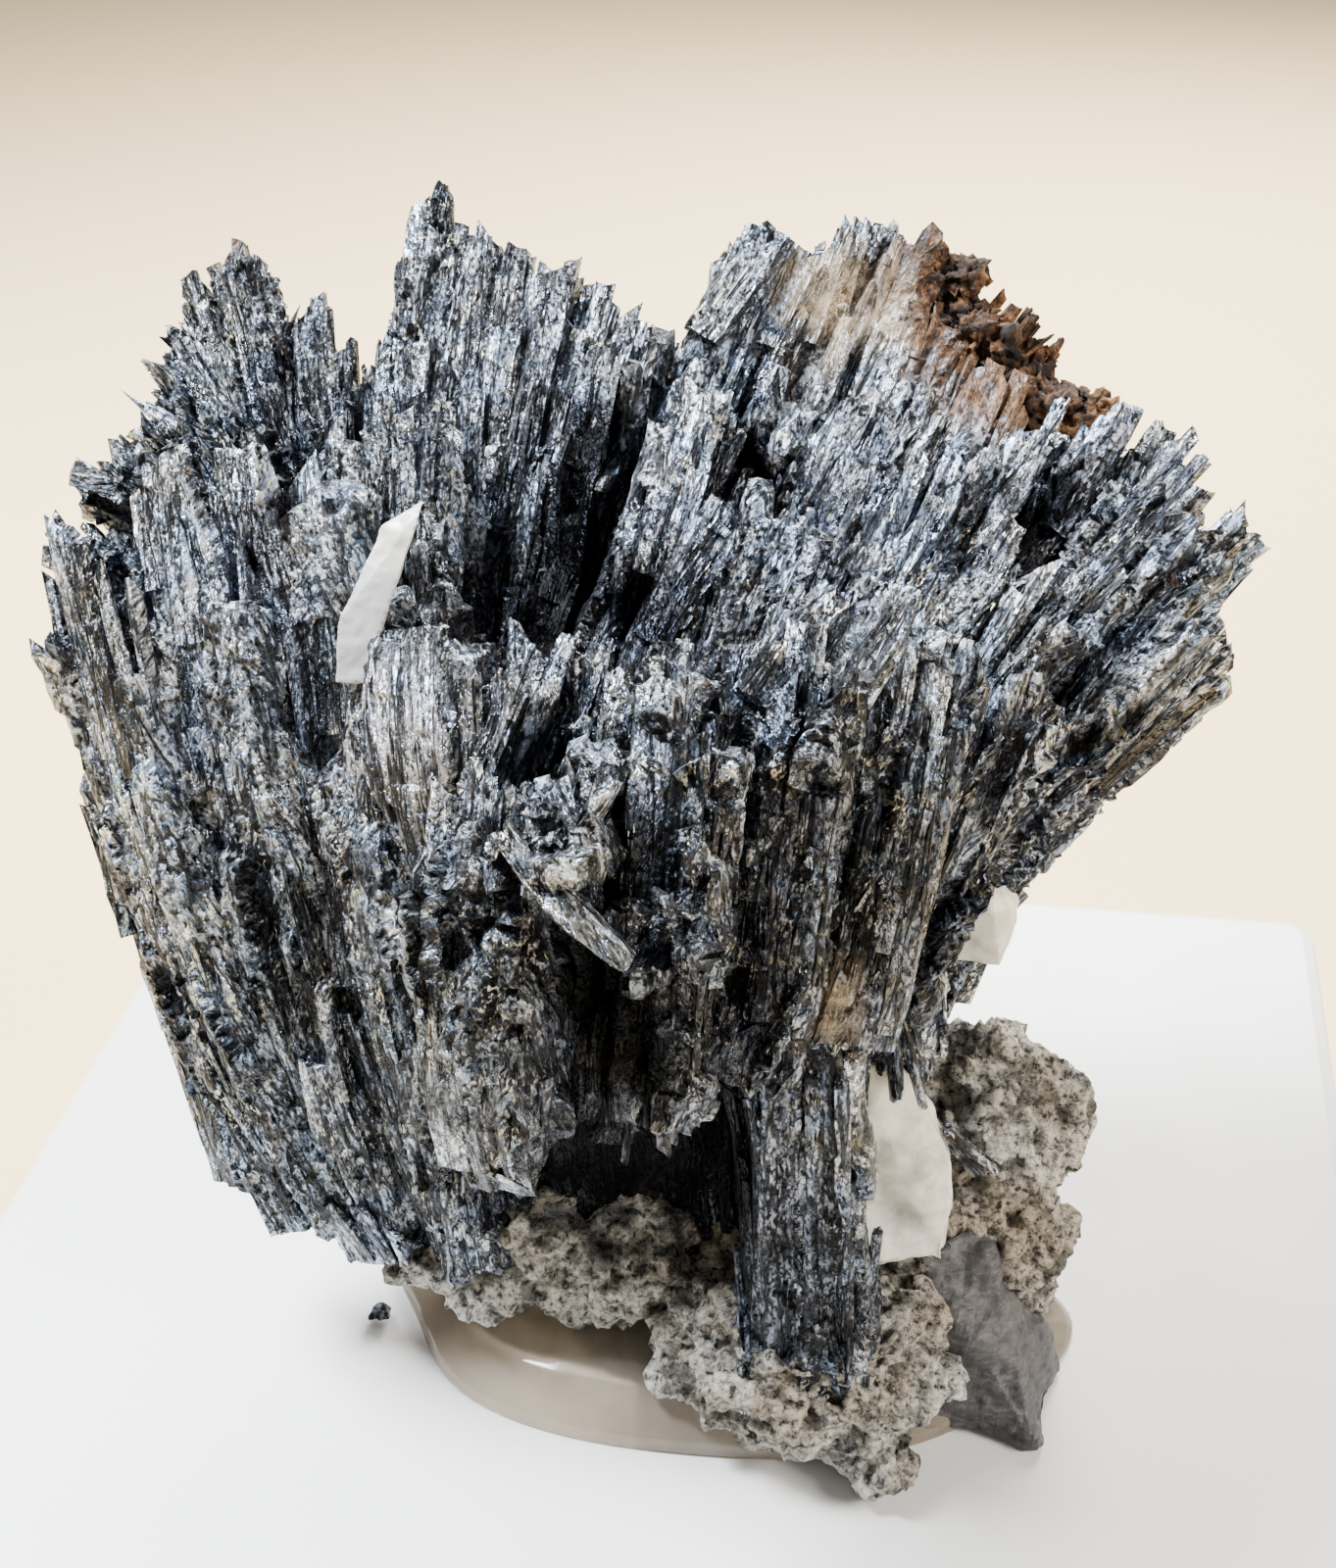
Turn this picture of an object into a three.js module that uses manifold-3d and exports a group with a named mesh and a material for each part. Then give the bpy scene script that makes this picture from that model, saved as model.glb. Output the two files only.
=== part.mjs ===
// A stibnite specimen: a mushroom-shaped fan of grown-together lead-grey blades on a lump of pale
// altered rock, with white calcite crystals and a rusty crust, glued to a square white display block.
// Millimetres, +Z up. The origin is the centre of the block's underside, and -Y is the front.
import * as THREE from "three";
import { ConvexGeometry } from "three/addons/geometries/ConvexGeometry.js";
import { mergeVertices } from "three/addons/utils/BufferGeometryUtils.js";
import Module from "manifold-3d";

// Driving dimensions
const BLOCK_SIDE = 100;
const BLOCK_HEIGHT = 20;
const BLOCK_EDGE_ROUND = 1.25;
const JOINT_GAP = 0.3; // what separates two pieces that touch

// An uneven value from 0 to 1 that is always the same for the same two numbers
function scatter(a, b) {
  const wave = Math.sin(a * 12.9898 + b * 78.233) * 43758.5453;
  return wave - Math.floor(wave);
}

const wasm = await Module();
wasm.setup();

const vec = (list) => new THREE.Vector3(...list);
const mix = (pair, t) => pair[0] + (pair[1] - pair[0]) * t;

// A closed three.js geometry whose vertices are moved to where place(x, y, z) says, as a solid that
// can be joined and cut
function solidOf(geometry, place) {
  const bare = new THREE.BufferGeometry();
  bare.setAttribute("position", geometry.getAttribute("position"));
  bare.setIndex(geometry.getIndex());
  const merged = mergeVertices(bare, 1e-4);
  const position = merged.getAttribute("position");
  for (let i = 0; i < position.count; i++) {
    const p = place(position.getX(i), position.getY(i), position.getZ(i));
    position.setXYZ(i, p.x, p.y, p.z);
  }
  return new wasm.Manifold(
    new wasm.Mesh({
      numProp: 3,
      vertProperties: position.array,
      triVerts: new Uint32Array(merged.index.array),
    }),
  );
}

// A solid back as a three.js geometry
function geometryOf(solid) {
  const mesh = solid.getMesh();
  const geometry = new THREE.BufferGeometry();
  geometry.setAttribute("position", new THREE.BufferAttribute(mesh.vertProperties, mesh.numProp));
  geometry.setIndex(new THREE.BufferAttribute(mesh.triVerts, 1));
  geometry.computeVertexNormals();
  return geometry;
}

const join = (solids) => solids.reduce((whole, next) => whole.add(next));

// The largest of the separate bodies that a cut has left
function largest(solid) {
  return solid.decompose().reduce((best, next) => (next.volume() > best.volume() ? next : best));
}

// The crystal mass, in millimetres from the middle of the block's top. Each row is a sheaf, a bundle of
// parallel blades: its root, its tip, how far its middle bows aside, the way its blades lie side by side,
// its width at root and tip, its depth at root and tip, the blades in its width and in its depth, and
// how much shorter than the longest its shortest blade is.
const SHEAVES = [
  // the wall of long blades on the left, which leans back
  [[-25.4, -2.4, 12.5], [-32.2, 6.5, 42], [0, 0, 0], [0.9, -0.4, 0], [5, 7], [4, 6], [3, 1], 0.16],
  [[-20.5, -3.6, 10], [-34.5, 12, 55], [0, -3.5, 0], [0.9, -0.4, 0], [5.5, 7.5], [4, 6], [3, 1], 0.1],
  [[-15.5, -4.4, 8.5], [-28, 14, 57.5], [0, -4.5, 0], [0.9, -0.4, 0], [5.5, 9], [4, 6], [3, 1], 0.1],
  [[-10, -5, 9], [-20, 15, 57.5], [0, -5, 0], [0.9, -0.4, 0], [5, 10], [4, 6], [3, 1], 0.1],
  [[-8.6, -4.6, 14], [-13, 11, 53], [0, -4, 0], [0.9, -0.4, 0], [5, 9], [4, 6], [3, 1], 0.12],
  [[-5, -3.5, 18], [-6, 4, 52], [0, -3, 0], [0.9, -0.4, 0], [4, 8], [4, 6], [3, 1], 0.12],
  // small blades behind the wall's corner, and the rosette behind it on its stem
  [[-27, 10, 44], [-36.5, 12.5, 53.5], [0, 0, 0], [0.6, 0.2, 0.8], [3, 4], [2, 2], [2, 1], 0.2],
  [[-27, 12, 46], [-35, 15, 56.5], [0, 0, 0], [0.8, 0.2, 0.6], [3, 4], [2, 2], [2, 1], 0.2],
  [[-20, 15, 42], [-27, 22.5, 55.5], [0, 0, 0], [1, 0.2, 0], [7, 7], [5, 6], [2, 1], 0.1],
  [[-23, 14, 42], [-31.5, 19, 54], [0, 0, 0], [0.5, 0.5, 0.7], [6, 8], [4, 4], [2, 1], 0.15],
  [[-26, 21, 53], [-36.5, 24, 55.6], [0, 0, 0], [0, 0.9, 0.4], [3, 4], [3, 2.6], [2, 1], 0.15],
  [[-26, 21, 53], [-35.2, 26, 57.6], [0, 0, 0], [0.2, 0.8, 0.6], [3, 3.4], [3, 2.4], [1, 1], 0.1],
  [[-26, 21, 53], [-33.8, 28, 60], [0, 0, 0], [0.5, 0.5, 0.7], [3, 3.2], [3, 2.4], [1, 1], 0.1],
  [[-26, 21.5, 53], [-32.2, 29.5, 63.6], [0, 0, 0], [0.9, 0.2, 0.4], [3, 2.6], [3, 2.4], [1, 1], 0.1],
  [[-26, 22, 53], [-29.6, 29.5, 64.8], [0, 0, 0], [1, 0, 0.1], [3, 3.4], [3, 2.4], [2, 1], 0.15],
  [[-25, 22, 53], [-26.8, 29, 61.2], [0, 0, 0], [1, 0, 0], [3, 3.6], [3, 2.6], [2, 1], 0.15],
  // the back row, from the tall blade to the rusty corner
  [[-21, 16, 42], [-24, 30, 61], [0, 0, 0], [1, 0, 0.1], [6, 6], [4, 5], [3, 1], 0.2],
  [[-18, 14, 42], [-17, 35.5, 66.6], [0, 0, 0], [1, 0, 0.1], [6, 3.5], [4, 3], [2, 1], 0.1],
  [[-15, 14, 42], [-14, 35.5, 65], [0, 0, 0], [1, 0, 0.1], [6, 6], [4, 4], [3, 1], 0.1],
  [[-12, 14, 42], [-10, 36, 64.5], [0, 0, 0], [1, 0, 0.1], [5, 5], [4, 4], [2, 1], 0.2],
  [[-9, 14, 42], [-5, 34, 61], [0, 0, 0], [1, 0, 0], [6, 7], [4, 4], [3, 1], 0.2],
  [[-6, 13, 42], [-1.4, 31, 59.8], [0, 0, 0], [0.9, -0.1, -0.3], [5, 5.5], [4, 4], [2, 1], 0.1],
  [[-5, 13, 42], [6.5, 38, 64.5], [0, 0, 0], [0.9, -0.1, -0.4], [6, 5], [4, 4], [3, 1], 0.2],
  [[0, 14, 42], [10, 39, 63.5], [0, 0, 0], [0.9, -0.1, -0.4], [6, 5], [4, 4], [3, 1], 0.2],
  [[4, 15, 42], [13, 43.5, 64], [0, 0, 0], [0.9, -0.1, -0.2], [8, 8], [5, 5], [3, 1], 0.1],
  [[9, 15, 41], [15.5, 39.5, 59.8], [0, 0, 0], [0.9, -0.3, -0.3], [8, 7], [5, 5], [3, 1], 0.15],
  [[12, 13, 40], [20.6, 35.6, 56], [0, 0, 0], [0.8, -0.5, -0.3], [7, 6], [5, 6], [3, 1], 0.15],
  // the cluster on the right
  [[12, 8, 36], [28, 27, 56.5], [0, 0, 0], [0.7, -0.7, 0], [6, 7], [6, 8], [3, 1], 0.15],
  [[13, 6, 34], [34.6, 24, 54.6], [0, 0, 0], [0.6, -0.8, 0], [6, 8], [6, 9], [3, 1], 0.15],
  [[14, 4, 32], [33.8, 18.4, 49.8], [0, 0, 0], [0.5, -0.8, -0.3], [6, 8], [6, 9], [4, 1], 0.15],
  [[15, 2, 30], [28.6, 12.6, 45.6], [0, 0, 0], [0.3, -0.8, -0.5], [5, 6], [6, 8], [3, 1], 0.15],
  [[14, 0, 28], [22, 7, 39.5], [0, 0, 0], [0.3, -0.8, -0.5], [5, 5], [5, 7], [2, 1], 0.2],
  // the inner rows, between the wall, the bulge and the back
  [[-16, 8, 40], [-17.5, 21, 59.5], [0, 0, 0], [1, 0, 0.1], [7, 7], [4, 4], [2, 1], 0.15],
  [[-8, 8, 42], [-3.6, 25, 60.6], [0, 0, 0], [0.9, -0.3, -0.2], [3, 3.2], [4, 4], [1, 1], 0],
  [[-3, 6, 42], [3.5, 23, 60], [0, 0, 0], [0.9, -0.3, -0.2], [4, 4.5], [4, 4], [2, 1], 0.1],
  [[3, 2, 38], [9, 17, 54.5], [0, 0, 0], [0.9, -0.2, 0], [9, 11], [4, 5], [3, 1], 0.08],
  [[9, 1, 38], [18.5, 19.5, 57], [0, 0, 0], [0.9, -0.4, 0], [7, 8], [5, 5], [3, 1], 0.15],
  [[11, 0, 36], [24, 15, 54], [0, 0, 0], [0.8, -0.6, 0], [7, 8], [5, 6], [3, 1], 0.15],
  [[3, 10, 42], [12, 28, 56.5], [0, 0, 0], [0.9, -0.2, 0], [9, 12], [4, 4], [2, 1], 0.1],
  // the bulge that overhangs the front: upright lobes, one small pointed blade, then broken ends
  [[-2, -18, 32], [-1.5, -11, 54.5], [0, -4, 0], [1, -0.3, 0], [4, 7.5], [4, 9], [4, 1], 0.12],
  [[4.4, -15, 35], [5.4, -6, 57], [0, -3, 0], [1, 0.1, 0], [6, 7.5], [6, 8], [3, 1], 0.12],
  [[8.5, -11, 34], [10.2, 1, 56], [0, -3, 0], [0.95, 0.3, 0], [6, 7.5], [6, 9], [3, 1], 0.12],
  [[12.8, -6, 33], [16, 7, 53.5], [0, -3, 0], [0.9, 0.4, 0], [6, 7.5], [7, 9], [3, 1], 0.12],
  [[15.5, -1, 32], [21.5, 8, 51], [0, -2, 0], [0.8, 0.5, 0], [5, 6.5], [6, 8], [3, 1], 0.12],
  [[2, -3, 36], [3, -2, 49], [0, 0, 0], [0.9, 0.3, 0], [11, 12], [7, 7], [1, 1], 0],
  [[-5.4, -9, 46], [-1, -1.6, 55.4], [0, 0, 0], [0.8, 0.3, -0.5], [3, 2.4], [3, 2.2], [1, 1], 0],
  [[2, -13, 50], [1.2, -19.6, 54.4], [0, 0, 0], [1, 0, 0.2], [5, 4], [4, 3.4], [2, 1], 0.2],
  [[6, -12, 46], [6.4, -20, 49.8], [0, 0, 0], [0.9, -0.2, 0.5], [5, 4], [5, 4], [2, 1], 0.2],
  // the column in front, and the neck's fibres
  [[12.6, -8.4, 5], [12, -5.5, 36], [0, 0, 0], [1, 0.1, 0], [8.5, 5], [7, 5], [3, 1], 0.05],
  [[4.5, -0.5, 12], [3, -4, 38], [0, 0, 0], [1, 0, 0], [9, 14], [5, 5], [2, 1], 0.05],
  [[17, 2, 36], [19, -0.5, 22], [0, 0, 0], [0.8, 0.6, 0], [5, 4], [3, 2], [3, 1], 0.3],
  // the back, which the photograph doesn't show
  [[-15, -1, 8], [-33, 17, 46], [0, 3, 0], [0.4, 0.9, 0], [5, 10], [4, 6], [2, 1], 0.12],
  [[-11, 3, 8], [-25, 26, 51], [0, 4, -3], [0.9, 0.4, 0], [6, 12], [4, 6], [2, 1], 0.12],
  [[-4, 5, 8], [-12, 31, 55], [0, 4, -4], [1, 0.1, 0], [6, 12], [4, 6], [2, 1], 0.12],
  [[2, 6, 8], [2, 32, 54], [0, 4, -4], [1, 0, 0], [6, 13], [4, 6], [2, 1], 0.12],
  [[8, 6, 8], [14, 33, 51], [0, 4, -4], [0.9, -0.2, 0], [6, 12], [4, 6], [2, 1], 0.12],
  [[12, 4, 10], [24, 23, 45], [0, 3, -3], [0.7, -0.7, 0], [5, 11], [4, 6], [2, 1], 0.12],
].map(([root, tip, bow, across, wide, deep, blades, ragged]) => ({
  root: vec(root),
  reach: vec(tip).sub(vec(root)),
  bow: vec(bow),
  across: vec(across),
  wide,
  deep,
  blades,
  ragged,
}));
const BLADE_OVERLAP = 1.3; // how much wider a blade is than its share of the sheaf
const BLADE_TAPER = 0.75; // a blade's tip width as a share of its full width
const CHISEL = 0.5; // how far a blade's slanted end leans, as a share of its width
const UNEVEN_DEPTH = 0.35; // how far blades stand out of their row, as a share of its depth

// One blade: a long four-sided prism that follows its sheaf's bowed path and ends in a slanted edge
function blade(sheaf, sheafNumber, i, j) {
  const { root, reach, bow, wide, deep } = sheaf;
  const along = reach.clone().normalize();
  const side = sheaf.across.clone().addScaledVector(along, -sheaf.across.dot(along)).normalize();
  const out = new THREE.Vector3().crossVectors(side, along);
  const [count, layers] = sheaf.blades;
  const seed = sheafNumber * 31 + i * 7 + j * 3;
  const u = (i + 0.5) / count - 0.5;
  const w = (j + 0.5) / layers - 0.5 + (scatter(seed, 1) - 0.5) * UNEVEN_DEPTH;
  const length = 1 - sheaf.ragged * scatter(seed, 2);
  const lean = (scatter(seed, 3) - 0.5) * 2 * CHISEL;
  const box = new THREE.BoxGeometry(1, 1, 1, 1, bow.length() > 0 ? 2 : 1, 1);
  return solidOf(box, (x, y, z) => {
    const t = (y + 0.5) * length;
    const atTip = y === 0.5;
    const bladeWide = (mix(wide, t) / count) * BLADE_OVERLAP * (atTip ? BLADE_TAPER : 1);
    const bladeDeep = (mix(deep, t) / layers) * (atTip ? BLADE_TAPER : 1);
    return root
      .clone()
      .addScaledVector(reach, t)
      .addScaledVector(bow, 4 * t * (1 - t))
      .addScaledVector(side, u * mix(wide, t) + x * bladeWide)
      .addScaledVector(out, w * mix(deep, t) * 0.5 + z * bladeDeep)
      .addScaledVector(along, atTip ? x * 2 * lean * bladeWide : 0);
  });
}

function blades() {
  const made = [];
  SHEAVES.forEach((sheaf, number) => {
    for (let i = 0; i < sheaf.blades[0]; i++) {
      for (let j = 0; j < sheaf.blades[1]; j++) made.push(blade(sheaf, number, i, j));
    }
  });
  return made;
}

// The grown-together middle of the mass, as levels of height, centre and half-widths
const CORE_SIDES = 9;
const CORE = [
  { z: 4, centre: [0, 0], half: [12, 4] },
  { z: 16, centre: [-3, 1], half: [14, 5] },
  { z: 28, centre: [-3, 4], half: [19, 7] },
  { z: 38, centre: [-1, 9], half: [25, 13] },
  { z: 44, centre: [0, 14], half: [26, 16] },
  { z: 46.5, centre: [0, 16], half: [19, 10] },
];
function core() {
  const rings = new THREE.CylinderGeometry(1, 1, 1, CORE_SIDES, CORE.length - 1);
  return solidOf(rings, (x, y, z) => {
    const { z: height, centre, half } = CORE[Math.round((y + 0.5) * (CORE.length - 1))];
    const uneven = 1 + 0.1 * (scatter(Math.round(x * 9), Math.round(z * 9) + height) - 0.5);
    return vec([centre[0] + x * half[0] * uneven, centre[1] - z * half[1] * uneven, height]);
  });
}

// The grown-together middle of the front bulge, hidden behind its blades
const BULGE_CORE = { at: [6, -4, 43], half: [12, 11, 8], rough: 0.05, detail: 1 };

// A lump: a faceted ball, stretched to three half-widths and knocked about. grow makes it that
// much larger all round.
function lump({ at, half, rough = 0.14, detail = 1 }, grow = 0) {
  return solidOf(new THREE.IcosahedronGeometry(1, detail), (x, y, z) => {
    const dent = 1 + rough * 2 * (scatter(Math.round(x * 50) + at[0], Math.round(y * 50 + z * 30)) - 0.5);
    return vec([
      at[0] + x * (half[0] * dent + grow),
      at[1] + y * (half[1] * dent + grow),
      at[2] + z * (half[2] * dent + grow),
    ]);
  });
}
const lumps = (list, grow) => join(list.map((spec) => lump(spec, grow)));

// The rock the crystals grew on: a ledge on the left, a crusty lump in front and a porous one behind
const ROCK = [
  { at: [-10, -2, 8], half: [8.5, 5, 4.2] },
  { at: [-3, -1.5, 8.5], half: [8.5, 5.6, 6.4] },
  { at: [12, -7, 5.5], half: [8.5, 6.5, 6], detail: 2 },
  { at: [9, 3, 7], half: [13, 7, 7] },
  { at: [23, 8.5, 12.5], half: [6, 5.5, 6.5], detail: 2 },
  { at: [23, 4, 6], half: [5.5, 5.5, 6] },
  { at: [18, -11, 2.5], half: [2.2, 2.2, 2.4] },
];
const GLUE_FILM = 0.4; // the thickness of the glue right below the rock

// A convex crystal or stone between the corners of its two ends, each end a list of points. grow moves
// its corners that much away from its middle.
function prism(ends, grow = 0) {
  const points = ends.flat().map(vec);
  const middle = points.reduce((sum, p) => sum.add(p), new THREE.Vector3()).divideScalar(points.length);
  const corners = points.map((p) => p.clone().addScaledVector(p.clone().sub(middle).normalize(), grow));
  return solidOf(new ConvexGeometry(corners), (x, y, z) => vec([x, y, z]));
}
const CORNER_GAP = 0.5; // corners moved this far leave about JOINT_GAP between the faces

// The smooth grey wedge of rock on the right of the base
const WEDGE = [
  [[19.5, -2.5, 10.5], [22.5, 0.5, 11], [24, -1.5, 9]],
  [[20, -7.5, 0.4], [27.5, -8, 0.4], [29, -1, 0.4], [22, 2, 0.4]],
];

// The white calcite crystals: a long pointed blade on the wall, a block on the side and one at the neck
const CALCITE_BLADE = [
  [[-11.9, 9.3, 57.7], [-12.7, 11.4, 56.8]],
  [[-14.7, 8.9, 56], [-12.8, 7.9, 55.5], [-14.2, 12, 55]],
  [[-16.7, 5.1, 51.6], [-14.3, 4.9, 51.3], [-15.6, 9, 51]],
  [[-16.8, 3.3, 48.6], [-14.9, 3.1, 48.7], [-15.8, 6.5, 47.7]],
];
const CALCITE_SIDE = [
  [[18.2, 3.2, 33.4], [18.8, 3, 31.4], [18.4, 6, 33.8], [19, 6, 31.8]],
  [[22.2, 2.2, 36.8], [23.8, 3, 34.8], [23.1, 2.6, 31.4], [22.6, 6, 36.2], [23.9, 6, 34.4], [23.2, 6, 31.8]],
];
const CALCITE_NECK = [
  [[14.8, -1.6, 26.6], [18.2, -0.8, 25.4], [16.2, 1.8, 26]],
  [[20.8, -1.4, 18.8], [20.2, 1.6, 19]],
  [[15.6, -4.2, 12.5], [20.8, -3.4, 11.6], [20.6, 0, 11.2], [16.2, 0.6, 12]],
];

// The rusty crust on the rear right corner of the crystals
const RUST = [
  { at: [16.6, 39, 60.4], half: [2.7, 2.3, 2.1] },
  { at: [19.4, 37.8, 57.9], half: [2.4, 2.2, 2.4] },
  { at: [22, 36.5, 55.7], half: [2.4, 2.1, 2.2] },
  { at: [24.4, 35.2, 53.7], half: [2.2, 2, 2] },
  { at: [26.4, 34.3, 53.6], half: [1.4, 1.4, 1.4] },
];

// A splinter of crystal lying in the glue at the front left
const CRUMB = [
  [[-18.8, -4.3, 0.5], [-17.2, -4.2, 0.5], [-17.4, -3, 0.5], [-18.6, -2.8, 0.5]],
  [[-18.5, -3.9, 1.5], [-17.6, -3.7, 1.7], [-17.9, -3.2, 1.5]],
];

// The pad of clear glue, as rings of height and share of its outline, which has a few soft lobes
const PAD_SIDES = 24;
const PAD_RINGS = [[0, 1], [1.2, 0.97], [2.8, 0.8], [4, 0.5]];
const PAD = { centre: [5, 0], half: [23.5, 11.5] };
function gluePad() {
  const rings = new THREE.CylinderGeometry(1, 1, 1, PAD_SIDES, PAD_RINGS.length - 1);
  return solidOf(rings, (x, y, z) => {
    const [height, share] = PAD_RINGS[Math.round((y + 0.5) * (PAD_RINGS.length - 1))];
    const angle = Math.atan2(-z, x);
    const lobes = 1 + 0.05 * Math.sin(3 * angle + 0.6) + 0.03 * Math.sin(5 * angle);
    const reach = share * lobes;
    return vec([PAD.centre[0] + x * PAD.half[0] * reach, PAD.centre[1] - z * PAD.half[1] * reach, height]);
  });
}

// A square slab with slightly rounded edges, its top at height 0
function block() {
  const straight = BLOCK_SIDE / 2 - 2 * BLOCK_EDGE_ROUND;
  const outline = new THREE.Shape();
  const corners = [[1, 1], [-1, 1], [-1, -1], [1, -1]];
  corners.forEach(([right, back], quarter) => {
    const start = (quarter * Math.PI) / 2;
    outline.absarc(right * straight, back * straight, BLOCK_EDGE_ROUND, start, start + Math.PI / 2);
  });
  const slab = new THREE.ExtrudeGeometry(outline, {
    depth: BLOCK_HEIGHT - 2 * BLOCK_EDGE_ROUND,
    curveSegments: 2,
    bevelEnabled: true,
    bevelThickness: BLOCK_EDGE_ROUND,
    bevelSize: BLOCK_EDGE_ROUND,
    bevelSegments: 2,
  });
  return solidOf(slab, (x, y, z) => vec([x, y, z + BLOCK_EDGE_ROUND - BLOCK_HEIGHT]));
}

// Everything below the glue's film is cut off the rock
function aboveFilm(solid) {
  const room = new THREE.BoxGeometry(BLOCK_SIDE, BLOCK_SIDE, BLOCK_SIDE);
  return solid.intersect(solidOf(room, (x, y, z) => vec([x, y, z + BLOCK_SIDE / 2 + GLUE_FILM])));
}

// Each piece is cut where a neighbour sits in it
const rockRoom = lumps(ROCK, JOINT_GAP);
const wedgeRoom = prism(WEDGE, CORNER_GAP);
const calciteRoom = join([CALCITE_BLADE, CALCITE_SIDE, CALCITE_NECK].map((ends) => prism(ends, CORNER_GAP)));
const baseRoom = rockRoom.add(wedgeRoom);
const rock = largest(aboveFilm(lumps(ROCK, 0)).subtract(wedgeRoom));
const neckCrystal = largest(prism(CALCITE_NECK).subtract(baseRoom));
const pad = largest(gluePad().subtract(baseRoom.add(prism(CRUMB, CORNER_GAP))));
const crystals = largest(
  join([core(), lump(BULGE_CORE), ...blades()])
    .subtract(baseRoom)
    .subtract(calciteRoom)
    .subtract(lumps(RUST, JOINT_GAP)),
);

// The pieces, with the look of each
const stone = (color) => ({ color, roughness: 0.9, metalness: 0 });
const calcite = { color: 0xf1f0ec, roughness: 0.3, metalness: 0 };
const metal = { color: 0x6c6f76, roughness: 0.4, metalness: 0.9 };
const PIECES = [
  ["display_block", block(), { color: 0xeeeeec, roughness: 0.5, metalness: 0 }],
  ["adhesive_pad", pad, { color: 0xe8e4d6, roughness: 0.25, metalness: 0 }],
  ["matrix_rock", rock, stone(0xa79f90)],
  ["smooth_grey_rock", prism(WEDGE), stone(0x8b8d8f)],
  ["stibnite_crystals", crystals, metal],
  ["calcite_blade", prism(CALCITE_BLADE), calcite],
  ["calcite_side_crystal", prism(CALCITE_SIDE), calcite],
  ["calcite_neck_crystal", neckCrystal, calcite],
  ["iron_oxide_crust", lumps(RUST, 0), stone(0x7a4524)],
  ["stibnite_crumb", prism(CRUMB), metal],
];

const specimen = new THREE.Group();
for (const [name, solid, look] of PIECES) {
  const mesh = new THREE.Mesh(geometryOf(solid), new THREE.MeshStandardMaterial(look));
  mesh.name = name;
  mesh.position.z = BLOCK_HEIGHT;
  specimen.add(mesh);
}

export default specimen;
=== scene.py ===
# %% [markdown]
# # A stibnite specimen on its display block
# Stibnite is antimony sulphide. It grows as long lead-grey blades that start from a few points on a
# rock and fan out, so that a good specimen looks like a sheaf of steel feathers. This lesson dresses a
# finished CAD model of one: the model gives the size and place of each piece, and Blender gives each
# its real surface. The first cell loads that frame, and everything after it is measured from it.

# %% Load the frame
from collections import namedtuple
from math import pi, tau
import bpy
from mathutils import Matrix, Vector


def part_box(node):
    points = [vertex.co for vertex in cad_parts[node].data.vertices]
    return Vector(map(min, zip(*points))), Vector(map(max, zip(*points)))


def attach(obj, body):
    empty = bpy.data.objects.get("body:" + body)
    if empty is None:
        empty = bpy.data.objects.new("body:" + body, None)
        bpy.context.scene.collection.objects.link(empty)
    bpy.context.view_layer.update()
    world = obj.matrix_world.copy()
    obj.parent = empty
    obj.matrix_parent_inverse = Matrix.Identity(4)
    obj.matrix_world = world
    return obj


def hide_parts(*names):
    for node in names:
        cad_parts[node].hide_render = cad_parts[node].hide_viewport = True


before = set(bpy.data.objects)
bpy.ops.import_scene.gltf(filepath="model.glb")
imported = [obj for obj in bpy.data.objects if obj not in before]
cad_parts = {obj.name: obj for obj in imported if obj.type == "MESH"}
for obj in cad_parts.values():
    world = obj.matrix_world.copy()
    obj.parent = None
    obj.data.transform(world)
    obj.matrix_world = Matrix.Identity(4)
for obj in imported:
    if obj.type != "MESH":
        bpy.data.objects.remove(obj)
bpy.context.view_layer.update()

from types import SimpleNamespace

import bpy
import numpy as np
from mathutils import Matrix, Vector

MM = 0.001
BLOCK_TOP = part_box("display_block")[1][2]
print("nodes:", sorted(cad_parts), "block top at", round(BLOCK_TOP / MM, 2), "mm")

# %% [markdown]
# ## Uneven values that are always the same
# Nature is irregular, but a script has to give the same result each time. A scatter value is the
# fractional part of a large sine, so the same two numbers always give the same third. Noise is the same
# idea in space: each corner of a cubic lattice has a fixed value, and a point between corners gets a
# smooth blend of the eight around it. Adding finer and finer noise gives a rocky surface.

# %% Scatter and noise
def scatter(a, b):
    """The fraction left of 43758.5453 sin(12.9898 a + 78.233 b), between 0 and 1."""
    wave = np.sin(np.asarray(a) * 12.9898 + np.asarray(b) * 78.233) * 43758.5453
    return wave - np.floor(wave)


def lattice_value(corner, offset):
    """The fixed value of each lattice corner: the scatter of x + 57.3 y and z + offset."""
    return scatter(corner[..., 0] + 57.3 * corner[..., 1], corner[..., 2] + offset)


def noise(points, cell, seed=0):
    """Smooth noise from -1 to 1: lattice values a cell apart, blended by 3f^2 - 2f^3 along each axis.
    Each seed moves the lattice and gives its corners other values."""
    place = points / cell + seed * 7.31
    corner = np.floor(place)
    share = place - corner
    share = share * share * (3 - 2 * share)
    total = np.zeros(points.shape[:-1])
    for step in np.ndindex(2, 2, 2):
        value = lattice_value(corner + step, 0.37 * seed)
        total += value * np.prod(np.where(step, share, 1 - share), axis=-1)
    return total * 2 - 1


def rocky(points, cell, octaves, seed=0):
    """Noise plus half as much noise at half the size, and so on."""
    return sum(noise(points, cell / 2**n, seed + n) / 2**n for n in range(octaves))


print("three scatter values:", scatter([1, 2, 3], 0).round(3))
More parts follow.
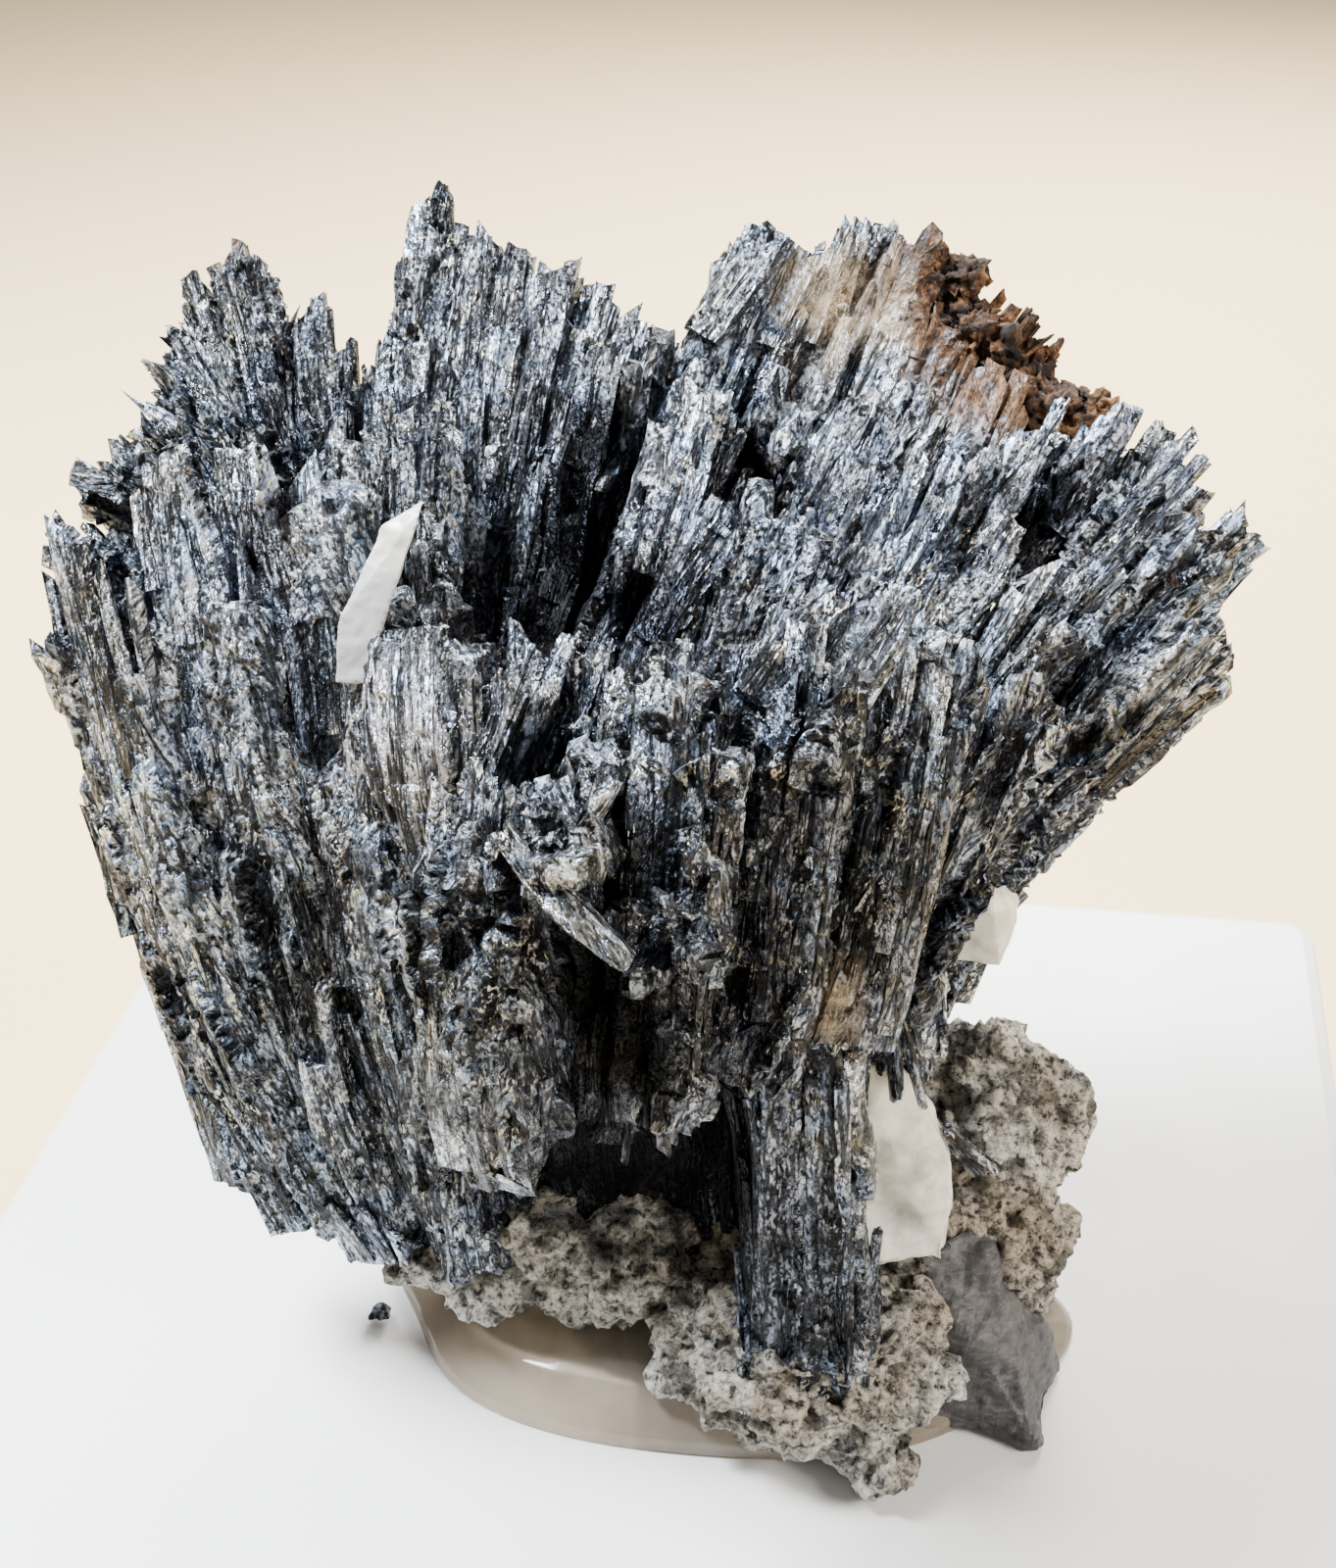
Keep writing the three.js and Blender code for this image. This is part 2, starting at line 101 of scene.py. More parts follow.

# %% [markdown]
# ## From arrays to a piece
# Every piece here is worked out as whole arrays of points in millimetres, measured from the middle of
# the block's top. One could model by hand or stack modifiers, but a rule for the points makes a
# thousand uneven blades as easily as one. A helper puts such arrays into a mesh, and another gives the
# finished piece its material, says which CAD body carries it and hides the CAD node it stands for.

# %% Mesh helpers
def to_metres(points):
    """Block-top millimetres to the frame's metres: times 0.001, and up by the block's height."""
    return np.asarray(points, float) * MM + (0, 0, BLOCK_TOP)


def linked(name, data):
    """A new object of some data, linked to the scene."""
    new = bpy.data.objects.new(name, data)
    bpy.context.scene.collection.objects.link(new)
    return new


def make_mesh(name, points, faces, smooth=True):
    """An object whose vertices are points in millimetres and whose faces are rows of vertex numbers."""
    mesh = bpy.data.meshes.new(name)
    loops = np.concatenate([f.ravel() for f in faces])
    sizes = np.concatenate([np.full(len(f), f.shape[1]) for f in faces])
    mesh.vertices.add(len(points))
    mesh.loops.add(len(loops))
    mesh.polygons.add(len(sizes))
    mesh.vertices.foreach_set("co", to_metres(points).ravel())
    mesh.loops.foreach_set("vertex_index", loops.astype(np.int32))
    mesh.polygons.foreach_set("loop_start", (np.cumsum(sizes) - sizes).astype(np.int32))
    mesh.polygons.foreach_set("use_smooth", np.full(len(sizes), smooth))
    mesh.update(calc_edges=True)
    mesh.validate()
    return linked(name, mesh)


def settle(piece, material, slot, *nodes):
    """Gives a finished piece its material and its body, and hides the CAD nodes it stands for."""
    piece.data.materials.clear()
    piece.data.materials.append(material)
    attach(piece, "root")
    if nodes:
        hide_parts(*nodes)
    triangles = sum(len(p.vertices) - 2 for p in piece.data.polygons)
    print(piece.name, "has", triangles, "triangles")
    return piece


# %% [markdown]
# ## Writing a finish as nodes
# A material is a small graph. This helper adds one node and fills its sockets: a plain value stays on
# the socket, and another node's output is linked to it. Patterns read Object coordinates, in metres, so
# one millimetre of the real stone is always 0.001, whichever piece it is on.

# %% Node helper and the shared lookups
class Finish:
    """A material whose nodes are added one by one."""

    def __init__(self, name, **fixed):
        """Starts a Principled surface. fixed are its constant values, such as Metallic=0.9."""
        self.material = bpy.data.materials.new(name)
        self.material.use_nodes = True
        self.tree = self.material.node_tree
        self.surface = self.tree.nodes["Principled BSDF"]
        for socket, value in fixed.items():
            self.surface.inputs[socket.replace("_", " ")].default_value = value
        self.place = self.add("ShaderNodeTexCoord").outputs["Object"]

    def add(self, kind, settings=None, **sockets):
        """Adds a node. A socket's key is its name with _ for a space, or in0, in1 for its number."""
        node = self.tree.nodes.new(kind)
        for key, value in (settings or {}).items():
            setattr(node, key, value)
        for key, value in sockets.items():
            where = int(key[2:]) if key[:2] == "in" and key[2:].isdigit() else key.replace("_", " ")
            if isinstance(value, bpy.types.NodeSocket):
                self.tree.links.new(value, node.inputs[where])
            else:
                node.inputs[where].default_value = value
        return node

    def stored(self, name, output="Vector"):
        """A value that the mesh carries on its vertices."""
        return self.add("ShaderNodeAttribute", {"attribute_name": name}).outputs[output]

    def noise(self, size_mm, detail=3.0, rough=0.6, twist=0.0, stretch=(1, 1, 1)):
        """Noise from 0 to 1 whose lumps are size_mm across, drawn out by stretch."""
        scale = tuple(1 / s for s in stretch)
        mapped = self.add("ShaderNodeMapping", Vector=self.place, Scale=scale).outputs[0]
        return self.add(
            "ShaderNodeTexNoise",
            Vector=mapped,
            Scale=1 / (size_mm * MM),
            Detail=detail,
            Roughness=rough,
            Distortion=twist,
        ).outputs["Fac"]

    def fibre(self, drawn, size_mm, detail=3.0):
        """Noise from 0 to 1 on growth values, which are in millimetres already."""
        return self.add(
            "ShaderNodeTexNoise", Vector=drawn, Scale=1 / size_mm, Detail=detail, Roughness=0.6
        ).outputs["Fac"]

    def ramp(self, value, *stops):
        """Colours or greys at positions from 0 to 1, blended between."""
        node = self.add("ShaderNodeValToRGB", Fac=value)
        bar = node.color_ramp.elements
        while len(bar) < len(stops):
            bar.new(0.5)
        for element, (position, colour) in zip(bar, stops):
            element.position = position
            grey = isinstance(colour, (int, float))
            element.color = (colour, colour, colour, 1) if grey else (*colour, 1)
        return node.outputs["Color"]

    def math(self, operation, a, b=0.0):
        """One sum, such as ADD, on two values."""
        return self.add("ShaderNodeMath", {"operation": operation}, in0=a, in1=b).outputs[0]

    def times(self, a, b):
        """The product of two values."""
        return self.math("MULTIPLY", a, b)

    def line_near_half(self, value, half_width):
        """1 where a value crosses a half, falling to 0 at half_width from it: thin winding lines."""
        off = self.math("ABSOLUTE", self.math("SUBTRACT", value, 0.5))
        return self.ramp(off, (0.0, 1.0), (half_width * 0.4, 1.0), (half_width, 0.0))

    def blend(self, share, a, b, mode="MIX"):
        """Colour a with share of colour b over it."""
        node = self.add("ShaderNodeMix", {"data_type": "RGBA", "blend_type": mode}, Factor=share)
        for socket, value in (("A", a), ("B", b)):
            target = next(i for i in node.inputs if i.name == socket and i.type == "RGBA")
            if isinstance(value, bpy.types.NodeSocket):
                self.tree.links.new(value, target)
            else:
                target.default_value = (*value, 1)
        return next(o for o in node.outputs if o.type == "RGBA")

    def dim(self, colour, by):
        """A colour times a grey or a colour."""
        return self.blend(1.0, colour, by, "MULTIPLY")

    def near(self, centre, reach):
        """1 at a place in block-top millimetres, falling to 0 between half of reach and reach."""
        away = self.add("ShaderNodeVectorMath", {"operation": "DISTANCE"}, in0=self.place)
        away.inputs[1].default_value = tuple(to_metres(centre))
        return self.add(
            "ShaderNodeMapRange",
            Value=away.outputs["Value"],
            From_Min=reach * 0.5 * MM,
            From_Max=reach * MM,
            To_Min=1.0,
            To_Max=0.0,
        ).outputs[0]

    def wear(self, **links):
        """Links values to the surface's own sockets."""
        for socket, value in links.items():
            self.tree.links.new(value, self.surface.inputs[socket.replace("_", " ")])
        return self

    def relief(self, height, depth_mm, strength=1.0):
        """Bump from a height of 0 to 1 that stands depth_mm high."""
        bump = self.add("ShaderNodeBump", Height=height, Strength=strength, Distance=depth_mm * MM)
        return self.wear(Normal=bump.outputs[0])

    def done(self):
        """The finished material."""
        print("finish", self.material.name, "has", len(self.tree.nodes), "nodes")
        return self.material


# %% [markdown]
# ## Patches and hollows
# Some places of the specimen are unlike the rest. Three patches are smooth and granular, with few
# flakes. One panel is a smooth unbroken face with painted highlights in streaks, and the column has a
# painted bluish sheen. Rust runs down the rear right corner, with a cream stain beside it, and a tan
# one lies above the column. Between the sheaves there are hollows and narrow gaps, where the mass
# sinks in and painted shade makes it nearly black, and a few wider places get painted shade too. They
# could be painted on each mesh by hand, but then every change of shape would mean painting again.
# Here each is a centre or a path in millimetres and a reach, and it fades evenly towards that distance.

# %% Patches and hollows
SMOOTH_PATCHES = [((-26, 7.5, 51), 11.5), ((-28, 4, 44), 9), ((12.5, 31.5, 57), 7.5)]
# smooth, with painted highlights in streaks on it
SMOOTH_SHEEN_PANEL = ((-11.7, 2.8, 45.5), 6.5)
# painted bluish highlights on the column
COLUMN_SHEENS = [((11.4, -10.4, 24), 4.4), ((12.4, -11, 16), 4.2)]
RUST_PATH = [(17.4, 38, 60), (18.8, 35.8, 57.4), (22, 33.4, 54.4), (26, 32.4, 52.8)]
RUST_SPOTS = [((-30, 29.5, 65.5), 2.2), ((32.1, 15.5, 51.2), 1.0), ((-12.4, 4.4, 47.6), 1.8)]
CREAM_PATH = [(8.5, 34, 60.8), (15, 35.8, 60.2)]
TAN_PATH = [(8.5, -11, 36.9), (14, -8.6, 36.9)]
# each hollow also gets painted shade, through the openness
HOLLOWS = [  # centre, reach, how far the middle sinks
    ((2.7, -17, 44.9), 4, (0.4, 2.2, -0.8)),
    ((4.9, -16.8, 41), 4, (0, 2.2, 0)),
    ((-5.1, 14.6, 52), 5.5, (0, 0.5, -2.6)),
    ((-6.8, 11.2, 48.3), 5, (0, 0.5, -2.4)),
    ((0.1, 11.2, 50.1), 4, (0, 0.5, -2)),
    ((-4.3, 19.8, 57.5), 3.8, (0, 0, -2)),
    ((-21.8, 11.1, 55), 3.2, (0, 0, -1.8)),
    ((22.5, 19.7, 52.4), 4, (0, 0, -2)),
    ((5.5, 22.2, 53.5), 3.6, (0, 0, -1.8)),
    ((-5, -6, 19), 9, (0, 3, 1.5)),
    ((2, -5, 18.5), 9, (0, 3, 1.5)),
    ((6, -5, 22), 7, (0, 2.5, 1)),
    ((20, 0.5, 35), 6, (-2.6, 2, 1)),
    ((1.8, -17.6, 32.6), 4, (-2.4, 0.8, 2.2)),
    ((-4.6, -17, 31.5), 3, (1.5, 0, 1.5)),
]
# each gap also gets painted shade, through the openness
SHADED_GAPS = [  # two ends, reach
    ([(-5.2, 16.6, 55), (-3.6, 25.4, 58)], 1.5),
    ([(22.6, 12, 53.4), (25, 20.6, 55)], 1.7),
    ([(9.2, -3.5, 56), (11.4, 3, 54.6)], 1.4),
    ([(4.6, 24.2, 54.8), (5.6, 21.1, 52.8)], 2.2),
    ([(26.4, 7.7, 44.1), (29.4, 10, 45.4)], 1.5),
    ([(32, 15.2, 50.9), (33.2, 17.9, 53.7)], 1.3),
    ([(-22.8, 9.4, 53), (-21.4, 15.2, 58.2)], 1.5),
]
GAP_SINKS = (0, 0.6, -2.0)  # how far the middle of a dark gap moves
SHADES = [  # centre, reach, the share of light that stays in the middle
    ((6, -12, 44), 19, 0.56),
    ((12, -8, 16), 13, 0.45),
    ((-2, -16, 33), 6, 0.5),
]
CLEARINGS = [  # no flake comes nearer: three white crystals show here, and the rusty corner stays low
    ((-14.3, 6.6, 52.8), 2.6),
    ((21, 0, 34.6), 4.2),
    ((18, -3, 19), 3.6),
    ((14.5, 41, 67), 3.8),
]


def share_near(place, centre, reach, soften=0.4):
    """(reach - distance) / (reach (1 - soften)), kept from 0 to 1: a soft-edged ball."""
    away = np.linalg.norm(place - np.array(centre, float), axis=-1)
    return np.clip((reach - away) / (reach * (1 - soften)), 0, 1)


def share_along(place, path, reach, soften=0.4):
    """The greatest share_near of the points of a path, eight to a stretch: a soft-edged sausage."""
    stretches = len(path) - 1
    stops = np.linspace(0, stretches, 8 * stretches + 1)
    points = np.stack([np.interp(stops, range(stretches + 1), axis) for axis in zip(*path)], -1)
    return np.max([share_near(place, point, reach, soften) for point in points], axis=0)


def smoothness(place):
    """How smooth the crystals are at each place."""
    return np.max([share_near(place, *patch) for patch in SMOOTH_PATCHES + [SMOOTH_SHEEN_PANEL]], axis=0)


def sink(place):
    """Moves places near a hollow or a gap by its sinking times the square of their share of it."""
    moved = place + sum(
        share_near(place, centre, reach, 0.2)[:, None] ** 2 * np.array(way)
        for centre, reach, way in HOLLOWS
    )
    gaps = np.max([share_along(place, *gap, 0.3) for gap in SHADED_GAPS], axis=0)
    return moved + gaps[:, None] ** 2 * np.array(GAP_SINKS)


print(len(HOLLOWS), "hollows,", len(SHADED_GAPS), "gaps and", len(SMOOTH_PATCHES), "smooth patches")

# %% [markdown]
# ## The finish of stibnite
# Fresh stibnite is a lead-grey metal with a bluish cast, finely striated along each blade. Up close its
# faces are wrinkled like foil, so every patch sparkles or goes black as it turns. A picture of the real
# face would fit one blade and one view, so the finish is noise that follows each blade instead. Each
# piece carries values per vertex: "growth" is its place in millimetres with the growth direction
# squeezed, so a pattern on it comes out drawn along the blades. "openness" says how much light gets
# there, and the finish paints shade by it. "patches" holds how smooth, how rusty and how cream-stained
# the place is. The finish also paints glints and sheens, and shade in pits, gaps and cracks.

# %% Stibnite
CROSS_GRAIN = 0.7  # how much of the plain place is added to the growth value, for a shorter grain
METALLIC = 0.92


def stibnite_patterns(f):
    """Noise along the blades, noise across them, and the thin lines where such noise crosses a half."""
    drawn = f.stored("growth")
    place_mm = f.add("ShaderNodeVectorMath", {"operation": "SCALE"}, in0=f.place)
    place_mm.inputs["Scale"].default_value = CROSS_GRAIN / MM
    both = f.add("ShaderNodeVectorMath", {"operation": "ADD"}, in0=drawn, in1=place_mm.outputs[0])
    half_drawn = both.outputs[0]
    striae = f.fibre(drawn, 0.28)
    ridges = f.fibre(drawn, 1.0)
    crumple = f.fibre(half_drawn, 0.4, detail=4.0)
    blades = f.fibre(drawn, 2.2, detail=1.0)
    blotch = f.fibre(half_drawn, 4.0, detail=5.0)
    patch = f.math("ADD", f.times(blades, 0.4), f.times(blotch, 0.6))
    creases = f.line_near_half(f.fibre(half_drawn, 1.1), 0.045)
    cracks = f.line_near_half(f.fibre(drawn, 1.5), 0.04)
    chips = f.line_near_half(f.fibre(half_drawn, 1.4, detail=4.0), 0.045)
    return SimpleNamespace(
        striae=striae,
        ridges=ridges,
        crumple=crumple,
        blades=blades,
        patch=patch,
        creases=creases,
        cracks=cracks,
        chips=chips,
    )


def clean_grey(f, p, smooth):
    """Grey by patches and regions, painted shade in pits, gaps and cracks, painted glints and sheens."""
    grey = f.ramp(
        p.patch, (0.38, (0.09, 0.094, 0.105)), (0.5, (0.3, 0.31, 0.33)), (0.6, (0.54, 0.55, 0.57))
    )
    grey = f.blend(f.times(smooth, 0.75), grey, (0.72, 0.73, 0.76))
    # painted shade in the low parts of the crumple, which is also the bump, and painted light on its crests
    crumple_shading = f.ramp(p.crumple, (0.36, 0.02), (0.46, 0.72), (0.57, 1.5))
    # painted shade in the gaps between the blades
    gaps = f.ramp(p.blades, (0.35, 0.12), (0.44, 1.0))
    regions = f.ramp(f.noise(9.0, detail=2.0, twist=0.4), (0.4, 0.62), (0.6, 1.15))
    cast = f.ramp(f.noise(4.0, twist=0.9), (0.42, (0.96, 0.99, 1.01)), (0.6, (0.76, 0.92, 1.18)))
    for by in (crumple_shading, gaps, regions, cast):
        grey = f.dim(grey, by)
    # painted glints: painted reflections in blue, white and gold along thin creases
    blue, white, gold = (0.55, 0.75, 1.0), (0.92, 0.94, 0.98), (1.0, 0.9, 0.62)
    glint_colour = f.ramp(f.noise(1.9, twist=0.8), (0.42, blue), (0.52, white), (0.66, gold))
    bright = f.ramp(f.noise(3.0, detail=3.0, twist=0.7), (0.44, 0.1), (0.56, 1.0))
    glint = f.times(f.times(p.creases, bright), f.ramp(p.crumple, (0.4, 0.2), (0.52, 1.0)))
    grey = f.blend(glint, grey, glint_colour)
    # painted highlight: bright streaks on the smooth panel
    panel_sheen = f.times(f.near(*SMOOTH_SHEEN_PANEL), f.ramp(p.striae, (0.46, 0.0), (0.54, 1.0)))
    grey = f.blend(panel_sheen, grey, (0.95, 0.95, 1.0))
    # painted highlight: a bluish sheen on the column
    sheen = f.math("MAXIMUM", *(f.near(*place) for place in COLUMN_SHEENS))
    sheen = f.times(sheen, f.ramp(p.crumple, (0.48, 0.0), (0.56, 1.0)))
    grey = f.blend(sheen, grey, (0.8, 0.88, 1.0))
    # painted shade in the cracks and chips, which the bump also cuts in
    crack_shade = f.times(f.math("MAXIMUM", p.cracks, f.times(p.chips, 0.8)), 0.92)
    return f.blend(crack_shade, grey, (0.01, 0.01, 0.012))


def stains(f, p):
    """The colours of the rusty and of the cream stain, from dark to pale by the grain."""
    grain = f.times(f.math("ADD", p.patch, p.crumple), 0.5)
    rust = f.ramp(
        grain, (0.4, (0.015, 0.008, 0.005)), (0.49, (0.07, 0.03, 0.012)), (0.58, (0.24, 0.12, 0.05))
    )
    cream = f.ramp(
        grain, (0.4, (0.3, 0.2, 0.11)), (0.5, (0.6, 0.48, 0.33)), (0.58, (0.76, 0.68, 0.55))
    )
    return rust, cream


def stibnite_finish():
    """Grey metal with painted shade where little light gets in, under dull rust and cream stains."""
    f = Finish("stibnite_metal")
    p = stibnite_patterns(f)
    smooth, rusty, creamy = f.add("ShaderNodeSeparateXYZ", Vector=f.stored("patches")).outputs
    height = f.math("ADD", f.times(p.striae, 0.25), f.times(p.crumple, 0.8))
    height = f.math("ADD", height, f.times(p.ridges, 0.7))
    height = f.math("SUBTRACT", height, f.times(f.math("MAXIMUM", p.cracks, p.chips), 0.5))
    f.relief(height, 0.5)

    # painted shade: near black where the openness says little light arrives, full colour where it is open
    light = f.ramp(
        f.stored("openness", "Fac"),
        (0.03, (0.015, 0.015, 0.018)),
        (0.18, (0.24, 0.24, 0.26)),
        (0.45, (1.0, 1.0, 1.0)),
    )
    grey = f.dim(clean_grey(f, p, smooth), light)
    rust_colour, cream_colour = stains(f, p)
    ragged = f.ramp(f.noise(1.8, detail=4.0), (0.4, 0.35), (0.55, 1.0))
    rust = f.math("MINIMUM", f.times(f.times(rusty, ragged), 1.7), 1.0)
    cream = f.times(creamy, ragged)
    coated = f.math("MAXIMUM", rust, cream)
    rough = f.ramp(p.patch, (0.35, 0.42), (0.65, 0.2))
    f.wear(
        Base_Color=f.blend(rust, f.blend(cream, grey, cream_colour), rust_colour),
        Metallic=f.math("SUBTRACT", METALLIC, f.times(coated, METALLIC)),
        Roughness=f.math("ADD", f.times(coated, 0.45), rough),
    )
    return f.done()


STIBNITE = stibnite_finish()


# %% [markdown]
# ## Sheaves of blades
# The crystals started at the base and raced outwards, so they lie in bundles that share a direction. A
# row of this table is one bundle, in the same millimetres as the CAD model: its root, its tip, the way
# its blades lie side by side, its width at root and tip, its depth at root and tip, the blades in its
# width and depth, how ragged its end is, and how far its middle bows aside if it does. A row that stops
# early is one straight blade with an even end. Modelling a thousand blades one by one would take weeks;
# a table of bundles and a rule for the blades takes an hour.

# %% The table of sheaves
STRAIGHT = (0, 0, 0)
Sheaf = namedtuple(
    "Sheaf", "root tip across wide deep blades ragged bow", defaults=[(1, 1), 0, STRAIGHT]
)
SHEAVES = {
    "left_wall": [
        [[-25.4, -2.4, 12.5], [-32.2, 6.5, 42], [0.9, -0.4, 0], [5, 7], [4, 6], [3, 1], 0.16],
        [[-20.5, -3.6, 10], [-34.5, 12, 55], [0.9, -0.4, 0], [5.5, 7.5], [4, 6], [3, 1], 0.1, [0, -3.5, 0]],
        [[-15.5, -4.4, 8.5], [-28, 14, 57.5], [0.9, -0.4, 0], [5.5, 9], [4, 6], [3, 1], 0.1, [0, -4.5, 0]],
        [[-10, -5, 9], [-20, 15, 57.5], [0.9, -0.4, 0], [5, 10], [4, 6], [3, 1], 0.1, [0, -5, 0]],
        [[-8.6, -4.6, 14], [-13, 11, 53], [0.9, -0.4, 0], [5, 9], [4, 6], [3, 1], 0.12, [0, -4, 0]],
        [[-5, -3.5, 18], [-6, 4, 52], [0.9, -0.4, 0], [4, 8], [4, 6], [3, 1], 0.12, [0, -3, 0]],
    ],
    "rosette": [
        [[-27, 10, 44], [-36.5, 12.5, 53.5], [0.6, 0.2, 0.8], [3, 4], [2, 2], [2, 1], 0.2],
        [[-27, 12, 46], [-35, 15, 56.5], [0.8, 0.2, 0.6], [3, 4], [2, 2], [2, 1], 0.2],
        [[-20, 15, 42], [-27, 22.5, 55.5], [1, 0.2, 0], [7, 7], [5, 6], [2, 1], 0.1],
        [[-23, 14, 42], [-31.5, 19, 54], [0.5, 0.5, 0.7], [6, 8], [4, 4], [2, 1], 0.15],
        [[-26, 21, 53], [-36.5, 24, 55.6], [0, 0.9, 0.4], [3, 4], [3, 2.6], [2, 1], 0.15],
        [[-26, 21, 53], [-35.2, 26, 57.6], [0.2, 0.8, 0.6], [3, 3.4], [3, 2.4], [1, 1], 0.1],
        [[-26, 21, 53], [-33.8, 28, 60], [0.5, 0.5, 0.7], [3, 3.2], [3, 2.4], [1, 1], 0.1],
        [[-26, 21.5, 53], [-32.2, 29.5, 63.6], [0.9, 0.2, 0.4], [3, 2.6], [3, 2.4], [1, 1], 0.1],
        [[-26, 22, 53], [-29.6, 29.5, 64.8], [1, 0, 0.1], [3, 3.4], [3, 2.4], [2, 1], 0.15],
        [[-25, 22, 53], [-26.8, 29, 61.2], [1, 0, 0], [3, 3.6], [3, 2.6], [2, 1], 0.15],
    ],
    "back_row": [
        [[-21, 16, 42], [-24, 30, 61], [1, 0, 0.1], [6, 6], [4, 5], [3, 1], 0.2],
        [[-18, 14, 42], [-17, 35.5, 66.6], [1, 0, 0.1], [6, 3.5], [4, 3], [2, 1], 0.1],
        [[-15, 14, 42], [-14, 35.5, 65], [1, 0, 0.1], [6, 6], [4, 4], [3, 1], 0.1],
        [[-12, 14, 42], [-10, 36, 64.5], [1, 0, 0.1], [5, 5], [4, 4], [2, 1], 0.2],
        [[-9, 14, 42], [-5, 34, 61], [1, 0, 0], [6, 7], [4, 4], [3, 1], 0.2],
        [[-6, 13, 42], [-1.4, 31, 59.8], [0.9, -0.1, -0.3], [5, 5.5], [4, 4], [2, 1], 0.1],
        [[-5, 13, 42], [6.5, 38, 64.5], [0.9, -0.1, -0.4], [6, 5], [4, 4], [3, 1], 0.2],
        [[0, 14, 42], [10, 39, 63.5], [0.9, -0.1, -0.4], [6, 5], [4, 4], [3, 1], 0.2],
        [[4, 15, 42], [13, 43.5, 64], [0.9, -0.1, -0.2], [8, 8], [5, 5], [3, 1], 0.1],
        [[9, 15, 41], [15.5, 39.5, 59.8], [0.9, -0.3, -0.3], [8, 7], [5, 5], [3, 1], 0.15],
        [[12, 13, 40], [20.6, 35.6, 56], [0.8, -0.5, -0.3], [7, 6], [5, 6], [3, 1], 0.15],
    ],
    "right_cluster": [
        [[12, 8, 36], [28, 27, 56.5], [0.7, -0.7, 0], [6, 7], [6, 8], [3, 1], 0.15],
        [[13, 6, 34], [34.6, 24, 54.6], [0.6, -0.8, 0], [6, 8], [6, 9], [3, 1], 0.15],
        [[14, 4, 32], [33.8, 18.4, 49.8], [0.5, -0.8, -0.3], [6, 8], [6, 9], [4, 1], 0.15],
        [[15, 2, 30], [28.6, 12.6, 45.6], [0.3, -0.8, -0.5], [5, 6], [6, 8], [3, 1], 0.15],
        [[14, 0, 28], [22, 7, 39.5], [0.3, -0.8, -0.5], [5, 5], [5, 7], [2, 1], 0.2],
    ],
    "inner_rows": [
        [[-16, 8, 40], [-17.5, 21, 59.5], [1, 0, 0.1], [7, 7], [4, 4], [2, 1], 0.15],
        [[-8, 8, 42], [-3.6, 25, 60.6], [0.9, -0.3, -0.2], [3, 3.2], [4, 4]],
        [[-3, 6, 42], [3.5, 23, 60], [0.9, -0.3, -0.2], [4, 4.5], [4, 4], [2, 1], 0.1],
        [[3, 2, 38], [9, 17, 54.5], [0.9, -0.2, 0], [9, 11], [4, 5], [3, 1], 0.08],
        [[9, 1, 38], [18.5, 19.5, 57], [0.9, -0.4, 0], [7, 8], [5, 5], [3, 1], 0.15],
        [[11, 0, 36], [24, 15, 54], [0.8, -0.6, 0], [7, 8], [5, 6], [3, 1], 0.15],
        [[3, 10, 42], [12, 28, 56.5], [0.9, -0.2, 0], [9, 12], [4, 4], [2, 1], 0.1],
    ],
    "front_bulge": [
        [[-2, -18, 32], [-1.5, -11, 54.5], [1, -0.3, 0], [4, 7.5], [4, 9], [4, 1], 0.12, [0, -4, 0]],
        [[4.4, -15, 35], [5.4, -6, 57], [1, 0.1, 0], [6, 7.5], [6, 8], [3, 1], 0.12, [0, -3, 0]],
        [[8.5, -11, 34], [10.2, 1, 56], [0.95, 0.3, 0], [6, 7.5], [6, 9], [3, 1], 0.12, [0, -3, 0]],
        [[12.8, -6, 33], [16, 7, 53.5], [0.9, 0.4, 0], [6, 7.5], [7, 9], [3, 1], 0.12, [0, -3, 0]],
        [[15.5, -1, 32], [21.5, 8, 51], [0.8, 0.5, 0], [5, 6.5], [6, 8], [3, 1], 0.12, [0, -2, 0]],
        [[2, -3, 36], [3, -2, 49], [0.9, 0.3, 0], [11, 12], [7, 7]],
        [[-5.4, -9, 46], [-1, -1.6, 55.4], [0.8, 0.3, -0.5], [3, 2.4], [3, 2.2]],
        [[2, -13, 50], [1.2, -19.6, 54.4], [1, 0, 0.2], [5, 4], [4, 3.4], [2, 1], 0.2],
        [[6, -12, 46], [6.4, -20, 49.8], [0.9, -0.2, 0.5], [5, 4], [5, 4], [2, 1], 0.2],
    ],
    "column": [
        [[12.6, -8.4, 5], [12, -5.5, 36], [1, 0.1, 0], [8.5, 5], [7, 5], [3, 1], 0.05],
        [[4.5, -0.5, 12], [3, -4, 38], [1, 0, 0], [9, 14], [5, 5], [2, 1], 0.05],
        [[17, 2, 36], [19, -0.5, 22], [0.8, 0.6, 0], [5, 4], [3, 2], [3, 1], 0.3],
    ],
    "rear_fan": [
        [[-15, -1, 8], [-33, 17, 46], [0.4, 0.9, 0], [5, 10], [4, 6], [2, 1], 0.12, [0, 3, 0]],
        [[-11, 3, 8], [-25, 26, 51], [0.9, 0.4, 0], [6, 12], [4, 6], [2, 1], 0.12, [0, 4, -3]],
        [[-4, 5, 8], [-12, 31, 55], [1, 0.1, 0], [6, 12], [4, 6], [2, 1], 0.12, [0, 4, -4]],
        [[2, 6, 8], [2, 32, 54], [1, 0, 0], [6, 13], [4, 6], [2, 1], 0.12, [0, 4, -4]],
        [[8, 6, 8], [14, 33, 51], [0.9, -0.2, 0], [6, 12], [4, 6], [2, 1], 0.12, [0, 4, -4]],
        [[12, 4, 10], [24, 23, 45], [0.7, -0.7, 0], [5, 11], [4, 6], [2, 1], 0.12, [0, 3, -3]],
    ],
}
